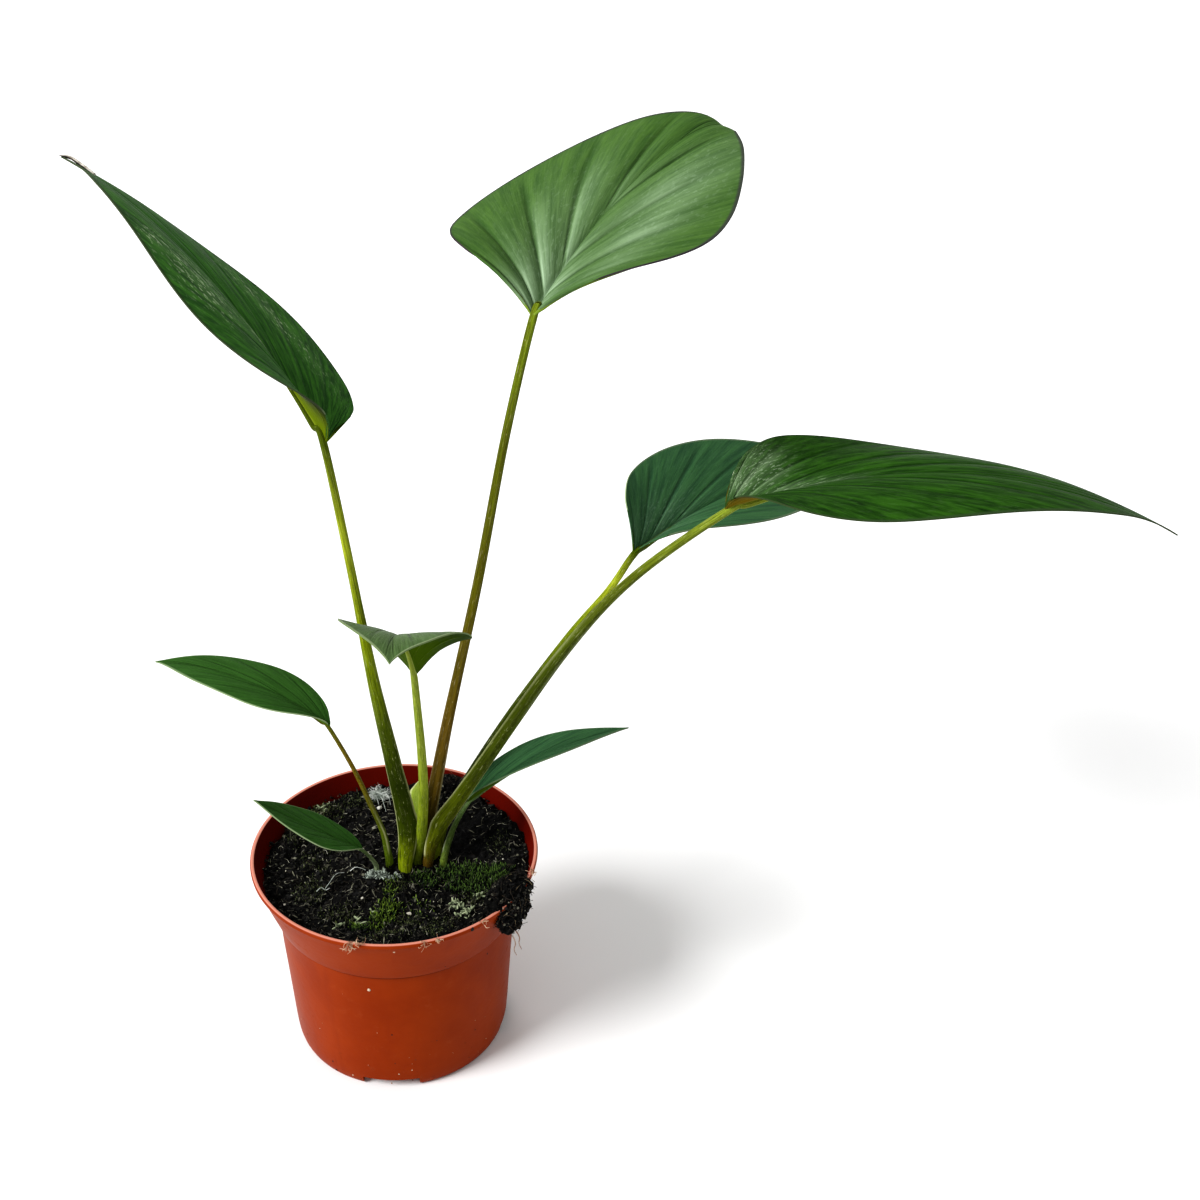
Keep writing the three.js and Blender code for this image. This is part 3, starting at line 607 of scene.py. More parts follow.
def growth_material(name, low, high, tips, rough=0.6):
    """Moss and lichen. The attribute along runs from a shoot's foot to its tip."""
    material, shade = new_material(name, {"Specular IOR Level": 0.3})
    along = attribute(shade, "along")
    pick = attribute(shade, "shade")
    fine = noise(object_place(shade), 700.0, 3.0, 0.6)
    colour = layered(
        mixed(between(along, 0.0, 0.7) * (pick * 0.6 + 0.4), paint(low), paint(high)),
        (between(along + fine * 0.4, 0.75, 1.1) * (pick * 0.7 + 0.3), tips))
    return feed(material, colour=colour, roughness=fine * 0.2 + (rough - 0.1), bump=(fine, 0.0003))


def floor_material():
    material, shade = new_material("studio_floor", {"Specular IOR Level": 0.1, "Roughness": 0.9})
    cloud = noise(object_place(shade), 2.0, 2.0)
    return feed(material, colour=mixed(cloud, paint("#e9e9e9"), paint("#ebebeb")))


# Modelling

def added(operator, **settings):
    """The object that an operator adds, with nothing else selected."""
    bpy.ops.object.select_all(action="DESELECT")
    operator(**settings)
    return bpy.context.object


def only(piece):
    """Selects one piece and makes it the one that operators act on."""
    bpy.ops.object.select_all(action="DESELECT")
    piece.select_set(True)
    bpy.context.view_layer.objects.active = piece
    return piece


def edit(piece, *steps):
    """Runs edit-mode steps on the whole of a piece."""
    only(piece)
    bpy.ops.object.mode_set(mode="EDIT")
    bpy.ops.mesh.select_all(action="SELECT")
    for step in steps:
        step()
    bpy.ops.object.mode_set(mode="OBJECT")


def merge_doubles():
    bpy.ops.mesh.remove_doubles(threshold=0.000002)


def close_holes(fill=bpy.ops.mesh.edge_face_add):
    """Fills what is open, and turns every face outwards."""
    bpy.ops.mesh.select_all(action="DESELECT")
    bpy.ops.mesh.select_non_manifold()
    fill()
    bpy.ops.mesh.select_all(action="SELECT")
    bpy.ops.mesh.normals_make_consistent(inside=False)


def apply_modifier(piece, kind, **settings):
    modifier = only(piece).modifiers.new(kind.lower(), kind)
    for key, value in settings.items():
        setattr(modifier, key, value)
    bpy.ops.object.modifier_apply(modifier=modifier.name)


def roughen(piece, kind, grain, strength, level, **settings):
    """Displaces a piece by a texture whose grain and strength are in millimetres."""
    texture = bpy.data.textures.new(piece.name, kind)
    texture.noise_scale = grain * MM
    apply_modifier(piece, "DISPLACE", texture=texture, strength=strength * MM, mid_level=level,
                   texture_coords="LOCAL", **settings)


def coordinates(piece):
    flat = np.empty(len(piece.data.vertices) * 3)
    piece.data.vertices.foreach_get("co", flat)
    return flat.reshape(-1, 3)


def move_to(piece, points):
    piece.data.vertices.foreach_set("co", np.ascontiguousarray(points, dtype=float).ravel())
    piece.data.update()


def mark(piece, **layers):
    """Values for each point of a mesh, for its material to read."""
    for name, values in layers.items():
        layer = piece.data.attributes.new(name, "FLOAT", "POINT")
        layer.data.foreach_set("value", np.ascontiguousarray(values, dtype=float).ravel())


def sheet_of(name, columns, rows):
    """A flat grid to be shaped. Returns it with each point's place along it and across it, from 0 to 1."""
    piece = added(bpy.ops.mesh.primitive_grid_add, x_subdivisions=rows, y_subdivisions=columns, size=1)
    piece.name = name
    flat = coordinates(piece) + 0.5
    return piece, flat[:, 0], flat[:, 1]


def tube(sides, fill, rings):
    """A filled circle extruded through rings of (sideways shift, height, radius), left in edit mode."""
    shift, height, radius = rings[0]
    piece = added(bpy.ops.mesh.primitive_circle_add, vertices=sides, radius=radius, fill_type=fill,
                  location=(shift, 0, height))
    bpy.ops.object.transform_apply()
    bpy.ops.object.mode_set(mode="EDIT")
    bpy.ops.mesh.select_all(action="SELECT")
    for (x0, z0, r0), (x1, z1, r1) in zip(rings, rings[1:]):
        bpy.ops.mesh.extrude_region_move(TRANSFORM_OT_translate={"value": (x1 - x0, 0, z1 - z0)})
        bpy.ops.transform.resize(value=(r1 / r0, r1 / r0, 1), center_override=(x1, 0, z1))
    return piece


def dressed(piece, slot, smooth, *materials, node=None):
    """Smooths a finished piece up to an angle, and gives it its materials and its place in the frame."""
    only(piece)
    if smooth == 180:
        bpy.ops.object.shade_smooth()
    else:
        bpy.ops.object.shade_smooth_by_angle(angle=math.radians(smooth))
    for material in materials:
        piece.data.materials.append(material)
    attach(piece, "root")
    if node:
        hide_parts(node)
    return piece


def rotated(a, b, turn):
    return a * np.cos(turn) - b * np.sin(turn), a * np.sin(turn) + b * np.cos(turn)


def polar(reach, turn):
    return rotated(reach, 0, turn)


def unit(rows):
    return rows / np.linalg.norm(rows, axis=1)[:, None]


def smooth_step(value, low, high):
    share = np.clip((value - low) / (high - low), 0, 1)
    return share * share * (3 - 2 * share)


def through(points, shares):
    """Places on a smooth curve through the points, at shares of their number."""
    points = np.asarray(points, dtype=float)
    last = len(points) - 1
    at = np.clip(np.asarray(shares), 0, 1) * last
    low = np.minimum(at.astype(int), last - 1)
    step = (at - low)[:, None]
    padded = np.vstack([2 * points[0] - points[1], points, 2 * points[-1] - points[-2]])
    before, start, end, after = (padded[low + k] for k in range(4))
    leave, arrive = (end - before) / 2, (after - start) / 2
    return (start + leave * step + (-3 * start + 3 * end - 2 * leave - arrive) * step ** 2
            + (2 * start - 2 * end + leave + arrive) * step ** 3)


# Blades

def midrib_of(leaf):
    """Where the midrib runs, with its forward, left and up directions, at even steps."""
    share = np.linspace(0, 1, MIDRIB_STEPS + 1)
    pitch = np.radians(leaf["pitch"] - leaf["arch"] * share - leaf.get("dip", 0) * share ** 14)
    yaw = np.radians(leaf["yaw"] + leaf["turn"] * share)
    roll = np.radians(leaf["roll"] + leaf["twist"] * share + leaf.get("lean", 0) * share ** 10)[:, None]
    forward = np.stack([np.cos(yaw) * np.cos(pitch), np.sin(yaw) * np.cos(pitch), np.sin(pitch)], 1)
    flat = np.stack([-np.sin(yaw), np.cos(yaw), 0 * yaw], 1)
    above = np.cross(forward, flat)
    left = flat * np.cos(roll) + above * np.sin(roll)
    up = above * np.cos(roll) - flat * np.sin(roll)
    steps = (forward[1:] + forward[:-1]) / 2 * (leaf["length"] / MIDRIB_STEPS)
    point = np.asarray(leaf["root"], dtype=float) + np.vstack([np.zeros(3), np.cumsum(steps, 0)])
    return point, forward, left, up


def at_share(rows, share):
    """What a row for each step of the midrib says at shares of its length."""
    at = np.clip(share, 0, 1) * MIDRIB_STEPS
    low = np.minimum(at.astype(int), MIDRIB_STEPS - 1)
    step = (at - low)[:, None]
    return rows[low] * (1 - step) + rows[low + 1] * step


def blade_points(leaf, share, across):
    """The middle surface of a blade. across runs from 1, the left margin, to -1, the right one."""
    length, half = leaf["length"], leaf["half"]
    corners = [(x * length, y * half, 0) for x, y in leaf["outline"]]
    margin = through(corners, share)
    out = np.abs(across)
    right = (across < 0).astype(int)
    start = length * share ** 5
    x = start + (margin[:, 0] - start) * out
    y = margin[:, 1] * out
    along = np.clip(x / length, 0, 1)
    reach = y / half
    point, forward, left, up = (at_share(rows, along) for rows in midrib_of(leaf))
    fold, cup, curl = (np.asarray(leaf[key], dtype=float)[right] for key in ("fold", "cup", "curl"))
    lift = np.radians(fold * (1 - 0.5 * along) + cup * np.exp(-along / 0.16) + curl * reach / 2)
    ripple = np.sin(2 * np.pi * (2.3 * share + leaf["phase"] + 0.37 * right))
    wave = leaf["wave"] * ripple * reach ** 2 * np.minimum(1, 4 * (1 - along))
    swell = np.abs(np.sin(np.pi * (share * leaf["veins"] + 0.5)))
    body = np.minimum(1, y / 6) * (1 - out ** 6) * np.minimum(1, 5 * (1 - along))
    pleats = leaf["pleat"] * (swell ** 0.8 - 0.6) * body
    groove = -0.45 * np.exp(-(y / 1.1) ** 2) * (1 - along)
    side = np.where(right == 1, -y, y)
    point = point + forward * np.minimum(x, 0)[:, None]
    return (point + left * (side * np.cos(lift))[:, None]
            + up * (y * np.sin(lift) + wave + pleats + groove)[:, None])


def bloom_of(leaf, share, across):
    """How pale the painted sheen is at each point: the leaf lists (along, across, reach each way, strength).
    """
    half_outline = through([(x, y, 0) for x, y in leaf["outline"]], share)
    along = share ** 5 + (half_outline[:, 0] - share ** 5) * np.abs(across)
    beside = across * half_outline[:, 1]
    bloom = np.zeros(len(share))
    for x, y, long, wide, strength in leaf.get("bloom", []):
        bloom += strength * np.exp(-((along - x) / long) ** 2 - ((beside - y) / wide) ** 2)
    return np.clip(bloom, 0, 1)


def make_blade(leaf, skin):
    rows, columns = (190, 72) if leaf["length"] > LARGE_LEAF else (100, 44)
    piece, along, across = sheet_of("leaf_blade_" + leaf["name"], columns, rows)
    share = 1 - (1 - along) ** 1.5  # closer rows towards the tip
    across = 2 * across - 1
    move_to(piece, blade_points(leaf, share, across) * MM)
    mark(piece, share=share, across=across, veins=np.full(len(share), float(leaf["veins"])),
         bloom=bloom_of(leaf, share, across))
    edit(piece, merge_doubles)
    for material in skin:
        piece.data.materials.append(material)
    apply_modifier(piece, "SOLIDIFY", thickness=BLADE_THICKNESS * MM, offset=0, material_offset=1,
                   material_offset_rim=2)
    return dressed(piece, "blade", 60, node="blade_" + leaf["name"])


def make_dry_tip(leaf):
    """The withered, rolled end of a blade: a pale thread between two dark edge threads, which are painted
    shade along the sides of the roll.
    """
    pale = crumb_material("leaf_dry_pale", ["#8f8678", "#cfc9bd", "#efece4"], 0.6)
    dark = crumb_material("leaf_dry_dark", ["#15100c", "#2c241c", "#4a3f33"], 0.7)
    midrib, _, left, up = midrib_of(leaf)
    for name, material, aside, radius in (
            ("leaf_dry_tip", pale, 0, 0.9), ("leaf_dry_edge_left", dark, 0.9, 0.45),
            ("leaf_dry_edge_right", dark, -0.9, 0.45)):
        line = [
            tuple(midrib[step] + left[step] * aside + up[step] * (0.5 - 0.4 * abs(aside)) + (0, 0, rise))
            for step, rise in ((53, 0), (56, 0.9), (58, 1.2), (MIDRIB_STEPS, 0))
        ]
        threads(name, [line], radius, "blade", material)


# Stalks

def stalk_course(leaf):
    """The middle of the stalk and then of the midrib's ridge, with each ring's direction and taper."""
    midrib, _, _, up = midrib_of(leaf)
    thin = leaf["depth"][1]
    points = [(*leaf["foot"], STALK_STRAIGHT), *leaf["path"], tuple(midrib[0] - up[0] * 0.7 * thin)]
    stalk_steps = STALK_STEPS * (len(points) - 1)
    for share in RIB_SHARES:
        step = round(MIDRIB_STEPS * share)
        points.append(tuple(midrib[step] - up[step] * (0.1 + 0.7 * thin * (1 - share))))
    shares = np.linspace(0, 1, STALK_STEPS * (len(points) - 1) + 1)
    centre = through(points, shares)
    ends = through(points, np.clip(shares + 0.002, 0, 1)) - through(points, np.clip(shares - 0.002, 0, 1))
    tangent = unit(ends)
    tangent[0] = (0, 0, 1)
    step = np.arange(len(shares))
    climb = np.clip(step / stalk_steps, 0, 1)
    rib = np.clip((step - stalk_steps) / (len(step) - 1 - stalk_steps), 0, 1)
    return climb, centre, tangent, 1 - 0.8 * rib ** 0.8


def make_stalk(leaf, material):
    """A stalk that rises from its hole in the soil and ends as the midrib's ridge. Where its edges reach
    past its depth, they are a sheath's thin wings."""
    climb, centre, tangent, taper = stalk_course(leaf)
    centre = np.vstack([[*leaf["foot"], STALK_SUNK], centre])
    tangent = np.vstack([[0, 0, 1], tangent])
    climb = np.concatenate([[0], climb])
    taper = np.concatenate([[1], taper])
    rings = len(centre)
    piece, along, turn = sheet_of("leaf_stalk_" + leaf["name"], STALK_SIDES, rings - 1)
    ring = np.rint(along * (rings - 1)).astype(int)
    angle = 2 * np.pi * turn

    height = np.where(climb < 1, np.maximum(centre[:, 2], STALK_STRAIGHT), leaf["root"][2]) - STALK_STRAIGHT
    heights, lefts, rights = np.array(leaf["edges"], dtype=float).T
    left = np.interp(height, heights, lefts) * taper
    right = np.interp(height, heights, rights) * taper
    thick, thin = leaf["depth"]
    depth = (thin + (thick - thin) * (1 - climb) ** 1.6) * taper
    across = unit(np.cross(tangent, (*polar(1, math.radians(leaf["faces"])), 0)))
    forward = np.cross(across, tangent)

    sine, cosine = np.sin(angle), np.cos(angle)
    width = np.where(sine > 0, right[ring], left[ring])
    deep = depth[ring]
    wing = np.maximum(0, width / deep - 1)
    ribs = 1 + 0.03 * np.sin(9 * angle) * (1 - smooth_step(np.abs(sine), 0.8, 1))
    x = width * sine
    y = deep * cosine * np.abs(cosine) ** (1.1 * wing) * ribs
    hollow = 0.25 * deep * np.exp(-(sine / 0.35) ** 2) * (cosine < 0)
    points = centre[ring] + across[ring] * x[:, None] + forward[ring] * (y + hollow)[:, None]
    move_to(piece, points * MM)
    fading = 1 - 0.7 * smooth_step(climb[ring], 0.2, 0.5)
    thin_edge = smooth_step(np.abs(sine), 0.86, 0.97) * smooth_step(wing, 0.2, 0.4)
    mark(piece, climb=climb[ring], around=turn, edge=fading * thin_edge)
    edit(piece, merge_doubles, lambda: close_holes(bpy.ops.mesh.fill))
    return dressed(piece, "stalk", 50, material, node="stalk_" + leaf["name"])


def make_ligule():
    """The pale, thin wing of the front stalk's sheath, which stands free beside it. Its paint is made
    brighter and glows: painted light for the light that comes through it.
    """
    piece, along, across = sheet_of("sheath_wing", 24, 50)
    across = 2 * across - 1
    half = np.interp(along, *np.array(LIGULE_HALF, dtype=float).T)
    out = np.array([*polar(1, math.radians(LIGULE_FACES)), 0])
    side = np.array([-out[1], out[0], 0])
    bow = 0.9 * across ** 2 * half
    points = through(LIGULE_PATH, along) + side * (across * half)[:, None] - out * bow[:, None]
    move_to(piece, points * MM)
    mark(piece, climb=along, around=across, edge=smooth_step(np.abs(across), 0.75, 0.95))
    edit(piece, merge_doubles)
    apply_modifier(piece, "SOLIDIFY", thickness=0.7 * MM, offset=0)
    # The wing's paint is brightened and glows with shine: painted light standing in for light through the
    # thin wing
    pale = stem_material("sheath_painted_light", ["#a3bc3c", "#b4cc50", "#c0d25c"], "#8aa62c", "#e6ecb4", shine=0.3)
    dressed(piece, "sheath", 60, pale, node="sheath_front")


# Pot

def cut(piece, operator, **settings):
    """Cuts the shape that an operator adds out of a piece."""
    cutter = added(operator, **settings)
    apply_modifier(piece, "BOOLEAN", operation="DIFFERENCE", object=cutter, solver="EXACT")
    bpy.data.objects.remove(cutter)


def placed_round(rule, ring):
    """The turn and place, in metres, of each of a rule's copies round the middle."""
    for i in range(rule["count"]):
        turn = math.radians(rule["first"] + i * 360 / rule["count"])
        yield turn, *polar(ring * MM, turn)


def make_pot(plastic):
    """One profile of (radius, height) turned about the middle, with notches and drains cut from it."""
    foot = [(13, 0), (14.5, RECESS), (39, RECESS), (40.2, 0.6), (41, 0)]
    outside = [
        (43.2, 0), (44.1, 0.25), (44.8, 1), (45.4, 2.4), (45.9, 4.6), (46.3, 8), (46.6, 12), (47.4, 25),
        (48.3, 39), (49.2, 52), (49.9, 66.6), (50, 67.3), (50.4, 67.6), (51.1, 67.75), (51.35, 68.2),
        (52.2, 70.8), (54.9, 78.4), (57.4, 85.8), (58.7, 89.7), (59.1, 90.6), (59.6, 90.9),
    ]
    lip = [
        (59.9, 91.2), (RIM_RADIUS, 91.8), (59.9, 92.5), (59.5, 92.9), (59, RIM_HEIGHT), (58.4, 92.8),
        (58.1, 92.2),
    ]
    inside = [
        (57.5, 90.4), (56, 85.8), (53.5, 78.4), (50, 68.4), (48.5, 67), (45.2, 12), (44, 8.2),
        (42.6, FLOOR_TOP), (30, FLOOR_TOP), (5, FLOOR_TOP),
    ]
    pot = tube(POT_SIDES, "NGON", [(0, z * MM, r * MM) for r, z in [*foot, *outside, *lip, *inside]])
    pot.name = "nursery_pot"
    close_holes()
    bpy.ops.object.mode_set(mode="OBJECT")
    notch = (NOTCH["deep"] * MM, NOTCH["width"] * MM, 2 * NOTCH["height"] * MM)
    for turn, x, y in placed_round(NOTCH, FOOT_RADIUS):
        cut(pot, bpy.ops.mesh.primitive_cube_add, size=1, scale=notch, location=(x, y, 0),
            rotation=(0, 0, turn))
    for _, x, y in placed_round(DRAIN, DRAIN["ring"]):
        cut(pot, bpy.ops.mesh.primitive_cylinder_add, vertices=28, radius=DRAIN["radius"] * MM, depth=8 * MM,
            location=(x, y, 6 * MM))
    return dressed(pot, "pot", 35, plastic, node="pot")


# Soil

def lumps(x, y):
    return (0.7 * np.sin(0.31 * x + 1.1) * np.cos(0.27 * y - 0.4)
            + 0.5 * np.sin(0.67 * x - 0.52 * y + 2) + 0.35 * np.cos(0.9 * y + 0.4 * x))


def soil_height(x, y):
    towards = math.radians(SOIL_TILT_TOWARDS)
    along = (x * math.cos(towards) + y * math.sin(towards)) / RIM_RADIUS
    bank = SOIL_BANK * smooth_step(np.hypot(x, y), 0.55 * RIM_RADIUS, 0.9 * RIM_RADIUS)
    return SOIL_LEVEL + SOIL_TILT * along + bank + lumps(x, y)


def outer_radius(z):
    radii, heights = zip(*OUTER_WALL)
    return np.interp(z, heights, radii)


def wall_radius(z):
    """How far out the soil reaches at a height above the rounded foot."""
    return outer_radius(z) - WALL - GAP


def make_soil(peat):
    """A round sheet, roughened up to near its edge, that goes down the wall and is closed at the floor."""
    piece, x, y = sheet_of("peat_soil", 230, 230)
    x, y = 2 * x - 1, 2 * y - 1
    x, y = x * np.sqrt(1 - y * y / 2), y * np.sqrt(1 - x * x / 2)
    turn = np.arctan2(y, x)
    edge = wall_radius(soil_height(*polar(SOIL_EDGE, turn)) - EDGE_DROP)
    x, y = x * edge, y * edge
    out = np.hypot(x, y)
    height = soil_height(x, y) - EDGE_DROP * smooth_step(out / edge, 0.93, 1)
    move_to(piece, np.stack([x, y, height], 1) * MM)
    inner = np.flatnonzero(out < edge - 0.7)
    piece.vertex_groups.new(name="top").add(inner.tolist(), 1, "REPLACE")
    for kind, grain, strength in (("VORONOI", 2.6, 2.2), ("CLOUDS", 1.1, 1.3), ("VORONOI", 1, 0.8)):
        roughen(piece, kind, grain, strength, 0.5, direction="Z", vertex_group="top")
    only(piece)
    bpy.ops.object.mode_set(mode="EDIT")
    bpy.ops.mesh.select_all(action="DESELECT")
    bpy.ops.mesh.select_non_manifold()
    # Down the wall, over the step under the rim's band and the rounded foot, to the floor
    for radius, height in (
            (wall_radius(68), 68.3), (wall_radius(67.4), 67.7), (wall_radius(14), 14.3),
            (42, FLOOR_TOP + GAP)):
        bpy.ops.mesh.extrude_region_move()
        flatten_ring(piece, radius, height)
    close_holes()
    bpy.ops.object.mode_set(mode="OBJECT")
    return dressed(piece, "peat", 70, peat, node="soil")


def flatten_ring(piece, radius, height):
    """Brings the selected ring to one radius and height."""
    bpy.ops.object.mode_set(mode="OBJECT")
    for vertex in piece.data.vertices:
        if vertex.select:
            x, y = polar(radius * MM, math.atan2(vertex.co.y, vertex.co.x))
            vertex.co = (x, y, height * MM)
    bpy.ops.object.mode_set(mode="EDIT")


# Dressing on the soil

def soil_top(soil, x, y):
    """The height of the finished soil under each place."""
    heights = np.empty(len(x))
    for i, (a, b) in enumerate(zip(x, y)):
        found, place, _, _ = soil.ray_cast((a * MM, b * MM, 0.12), (0, 0, -1))
        heights[i] = place.z / MM if found else soil_height(a, b)
    return heights


def about(axis, angles):
    """One rotation matrix for each angle, about x, y or z as 0, 1 or 2."""
    a, b = (axis + 1) % 3, (axis + 2) % 3
    matrices = np.zeros((len(angles), 3, 3))
    matrices[:, axis, axis] = 1
    matrices[:, a, a] = matrices[:, b, b] = np.cos(angles)
    matrices[:, b, a] = np.sin(angles)
    matrices[:, a, b] = -matrices[:, b, a]
    return matrices


def turns(yaw, lean, towards):
    """Turns by yaw about the upright, then leans each one from the upright towards a direction."""
    return about(2, towards) @ about(1, lean) @ about(2, yaw)


def tossed(count, lean):
    """Random turns that lean up to an angle in radians."""
    return turns(dice.uniform(0, 6.3, count), dice.uniform(0, lean, count), dice.uniform(0, 6.3, count))


def strewn(name, model, places, sizes, turned, shades):
    """Copies of a small model as one piece: each has a place, a size along three axes, a turn and a tone."""
    points = coordinates(model)
    faces = np.array([list(face.vertices) for face in model.data.polygons])
    count = len(places)
    moved = np.einsum("nij,nkj->nki", turned, points[None] * sizes[:, None, :]) + places[:, None, :]
    every_face = faces[None] + (np.arange(count) * len(points))[:, None, None]
    mesh = bpy.data.meshes.new(name)
    mesh.from_pydata((moved.reshape(-1, 3) * MM).tolist(), [],
                     every_face.reshape(-1, faces.shape[1]).tolist())
    piece = bpy.data.objects.new(name, mesh)
    bpy.context.scene.collection.objects.link(piece)
    low, high = points[:, 2].min(), points[:, 2].max()
    mark(piece, along=np.tile((points[:, 2] - low) / (high - low), count),
         shade=np.repeat(shades, len(points)))
    bpy.data.objects.remove(model)
    return piece


def crumb_model(seed):
    """An angular crumb, about 1 across each way."""
    model = added(bpy.ops.mesh.primitive_ico_sphere_add, subdivisions=1, radius=0.5)
    edit(model, lambda: bpy.ops.transform.vertex_random(offset=0.16, seed=seed))
    return model


def shoot_model(sides, rings):
    """A bent, tapered shoot. rings lists sideways shift, height and radius."""
    model = tube(sides, "TRIFAN", rings)
    bpy.ops.mesh.select_all(action="SELECT")
    bpy.ops.mesh.quads_convert_to_tris()
    bpy.ops.object.mode_set(mode="OBJECT")
    return model


def in_pot(x, y, room=1.5):
    return np.hypot(x, y) < INSIDE_RADIUS - room


def patch(x, y, long, wide, turn, count):
    """Places in an oval patch, thinner towards its edge, that lie inside the pot."""
    angle = dice.uniform(0, 2 * np.pi, count)
    out = dice.uniform(0, 1, count) ** 0.6
    a, b = rotated(long * out * np.cos(angle), wide * out * np.sin(angle), math.radians(turn))
    x, y = x + a, y + b
    keep = in_pot(x, y)
    return x[keep], y[keep]


def stand(soil, name, material, patches, model, length, width, lean, flat):
    """Shoots that stand in patches, with their feet sunk in the soil. flat thins each one."""
    x, y = np.concatenate([patch(*one) for one in patches], axis=1)
    count = len(x)
    tall = dice.uniform(*length, count)
    wide = dice.uniform(*width, count)
    turned = turns(
        dice.uniform(0, 6.3, count), np.abs(dice.normal(0, lean, count)), dice.uniform(0, 6.3, count))
    places = np.stack([x, y, soil_top(soil, x, y) - 0.3], 1)
    sizes = np.stack([wide, wide * flat, tall], 1)
    piece = strewn(name, model, places, sizes, turned, dice.uniform(0, 1, count))
    dressed(piece, "peat", 60, material)


def lie(soil, name, material, x, y, size, seed, flat=0.6, slim=1.0, rise=0.1):
    """Crumbs that lie on the soil. flat, slim and rise: height, breadth and lift as shares of length."""
    count = len(x)
    big = dice.uniform(*size, count)
    sizes = np.stack([big * dice.uniform(0.7, 1.3, count), big * slim * dice.uniform(0.6, 1, count),
                      big * dice.uniform(flat * 0.7, flat * 1.2, count)], 1)
    turned = tossed(count, 0.9)
    places = np.stack([x, y, soil_top(soil, x, y) + rise * big], 1)
    piece = strewn(name, crumb_model(seed), places, sizes, turned, dice.uniform(0, 1, count))
    dressed(piece, "peat", 40, material)


def all_over(count, room=0.8):
    """Even places over the whole soil, but few in the shaded patch at the right, kept dark as painted shade.
    """
    x, y = polar(SOIL_REACH * np.sqrt(dice.uniform(0, 1, count)), dice.uniform(0, 2 * np.pi, count))
    in_shaded_patch = np.exp(-((x - SHADED_PATCH[0]) ** 2 + (y - SHADED_PATCH[1]) ** 2) / SHADED_PATCH_REACH ** 2)
    keep = in_pot(x, y, room) & (dice.uniform(0, 1, count) > 0.85 * in_shaded_patch)
    return x[keep], y[keep]


def threads(name, lines, radius, slot, material):
    """Roots and fibres as one piece: each line is a list of places, and thins out to its end."""
    curve = bpy.data.curves.new(name, "CURVE")
    curve.dimensions = "3D"
    curve.bevel_depth = radius * MM
    curve.bevel_resolution = 1
    curve.resolution_u = 5
    curve.use_fill_caps = True
    for line in lines:
        spline = curve.splines.new("BEZIER")
        spline.bezier_points.add(len(line) - 1)
        for i, (point, place) in enumerate(zip(spline.bezier_points, line)):
            point.co = Vector(place) * MM
            point.handle_left_type = point.handle_right_type = "AUTO"
            point.radius = 1 - 0.6 * i / (len(line) - 1)
    piece = bpy.data.objects.new(name, curve)
    bpy.context.scene.collection.objects.link(piece)
    only(piece)
    bpy.ops.object.convert(target="MESH")
    piece = bpy.context.object
    mark(piece, shade=noise_by_place(coordinates(piece)))
    dressed(piece, slot, 180, material)


def noise_by_place(points):
    """A slow change of tone from place to place, from 0 to 1."""
    return 0.5 + 0.5 * np.sin(points[:, 0] * 900 + 3 * np.sin(points[:, 1] * 700))


def tuft(foot, count, length, spread, rise):
    """Short bent fibres that spring from one spot."""
    lines = []
    for _ in range(count):
        turn = dice.uniform(0, 2 * np.pi)
        far = dice.uniform(0.5, 1) * length
        out = np.array([*polar(spread, turn), 0])
        start = np.array(foot) + dice.normal(0, 0.5, 3)
        middle = start + out * far * 0.5 + np.array([0, 0, rise * far * 0.5]) + dice.normal(0, 0.5, 3)
        end = start + out * far + np.array([0, 0, rise * far * dice.uniform(0.3, 0.9)])
        lines.append([tuple(start), tuple(middle), tuple(end + dice.normal(0, 0.6, 3))])
    return lines


def on_clod(ways, turn, reach, height, size):
    """Where the directions out of a clod's middle meet its surface."""
    out, round_rim, up = (ways * size).T
    return np.stack([*rotated(reach + out, round_rim, math.radians(turn)), height + up], 1)


def make_clods(peat):
    """Lumps of soil that hang over the rim."""
    for number, shape in enumerate(CLODS):
        clod = added(bpy.ops.mesh.primitive_ico_sphere_add, subdivisions=5, radius=1)
        clod.name = f"soil_clod_{number + 1}"
        ways = coordinates(clod)
        swell = 1 + 0.1 * np.sin(5 * ways[:, 0] + 3 * ways[:, 2] + number)
        move_to(clod, on_clod(ways * swell[:, None], *shape) * MM)
        roughen(clod, "VORONOI", 3.2, 3, 0.6)
        roughen(clod, "VORONOI", 1.3, 1.8, 0.6)
        dressed(clod, "peat", 70, peat)


def all_over_clods(count):
    """Places on the outside of every clod, with the direction that each one faces."""
    places, outward = [], []
    for shape in CLODS:
        ways = unit(dice.normal(0, 1, (count, 3)))
        ways = ways[ways[:, 2] > -0.9]
        places.append(on_clod(ways, *shape))
        outward.append(ways)
    return np.concatenate(places), np.concatenate(outward)


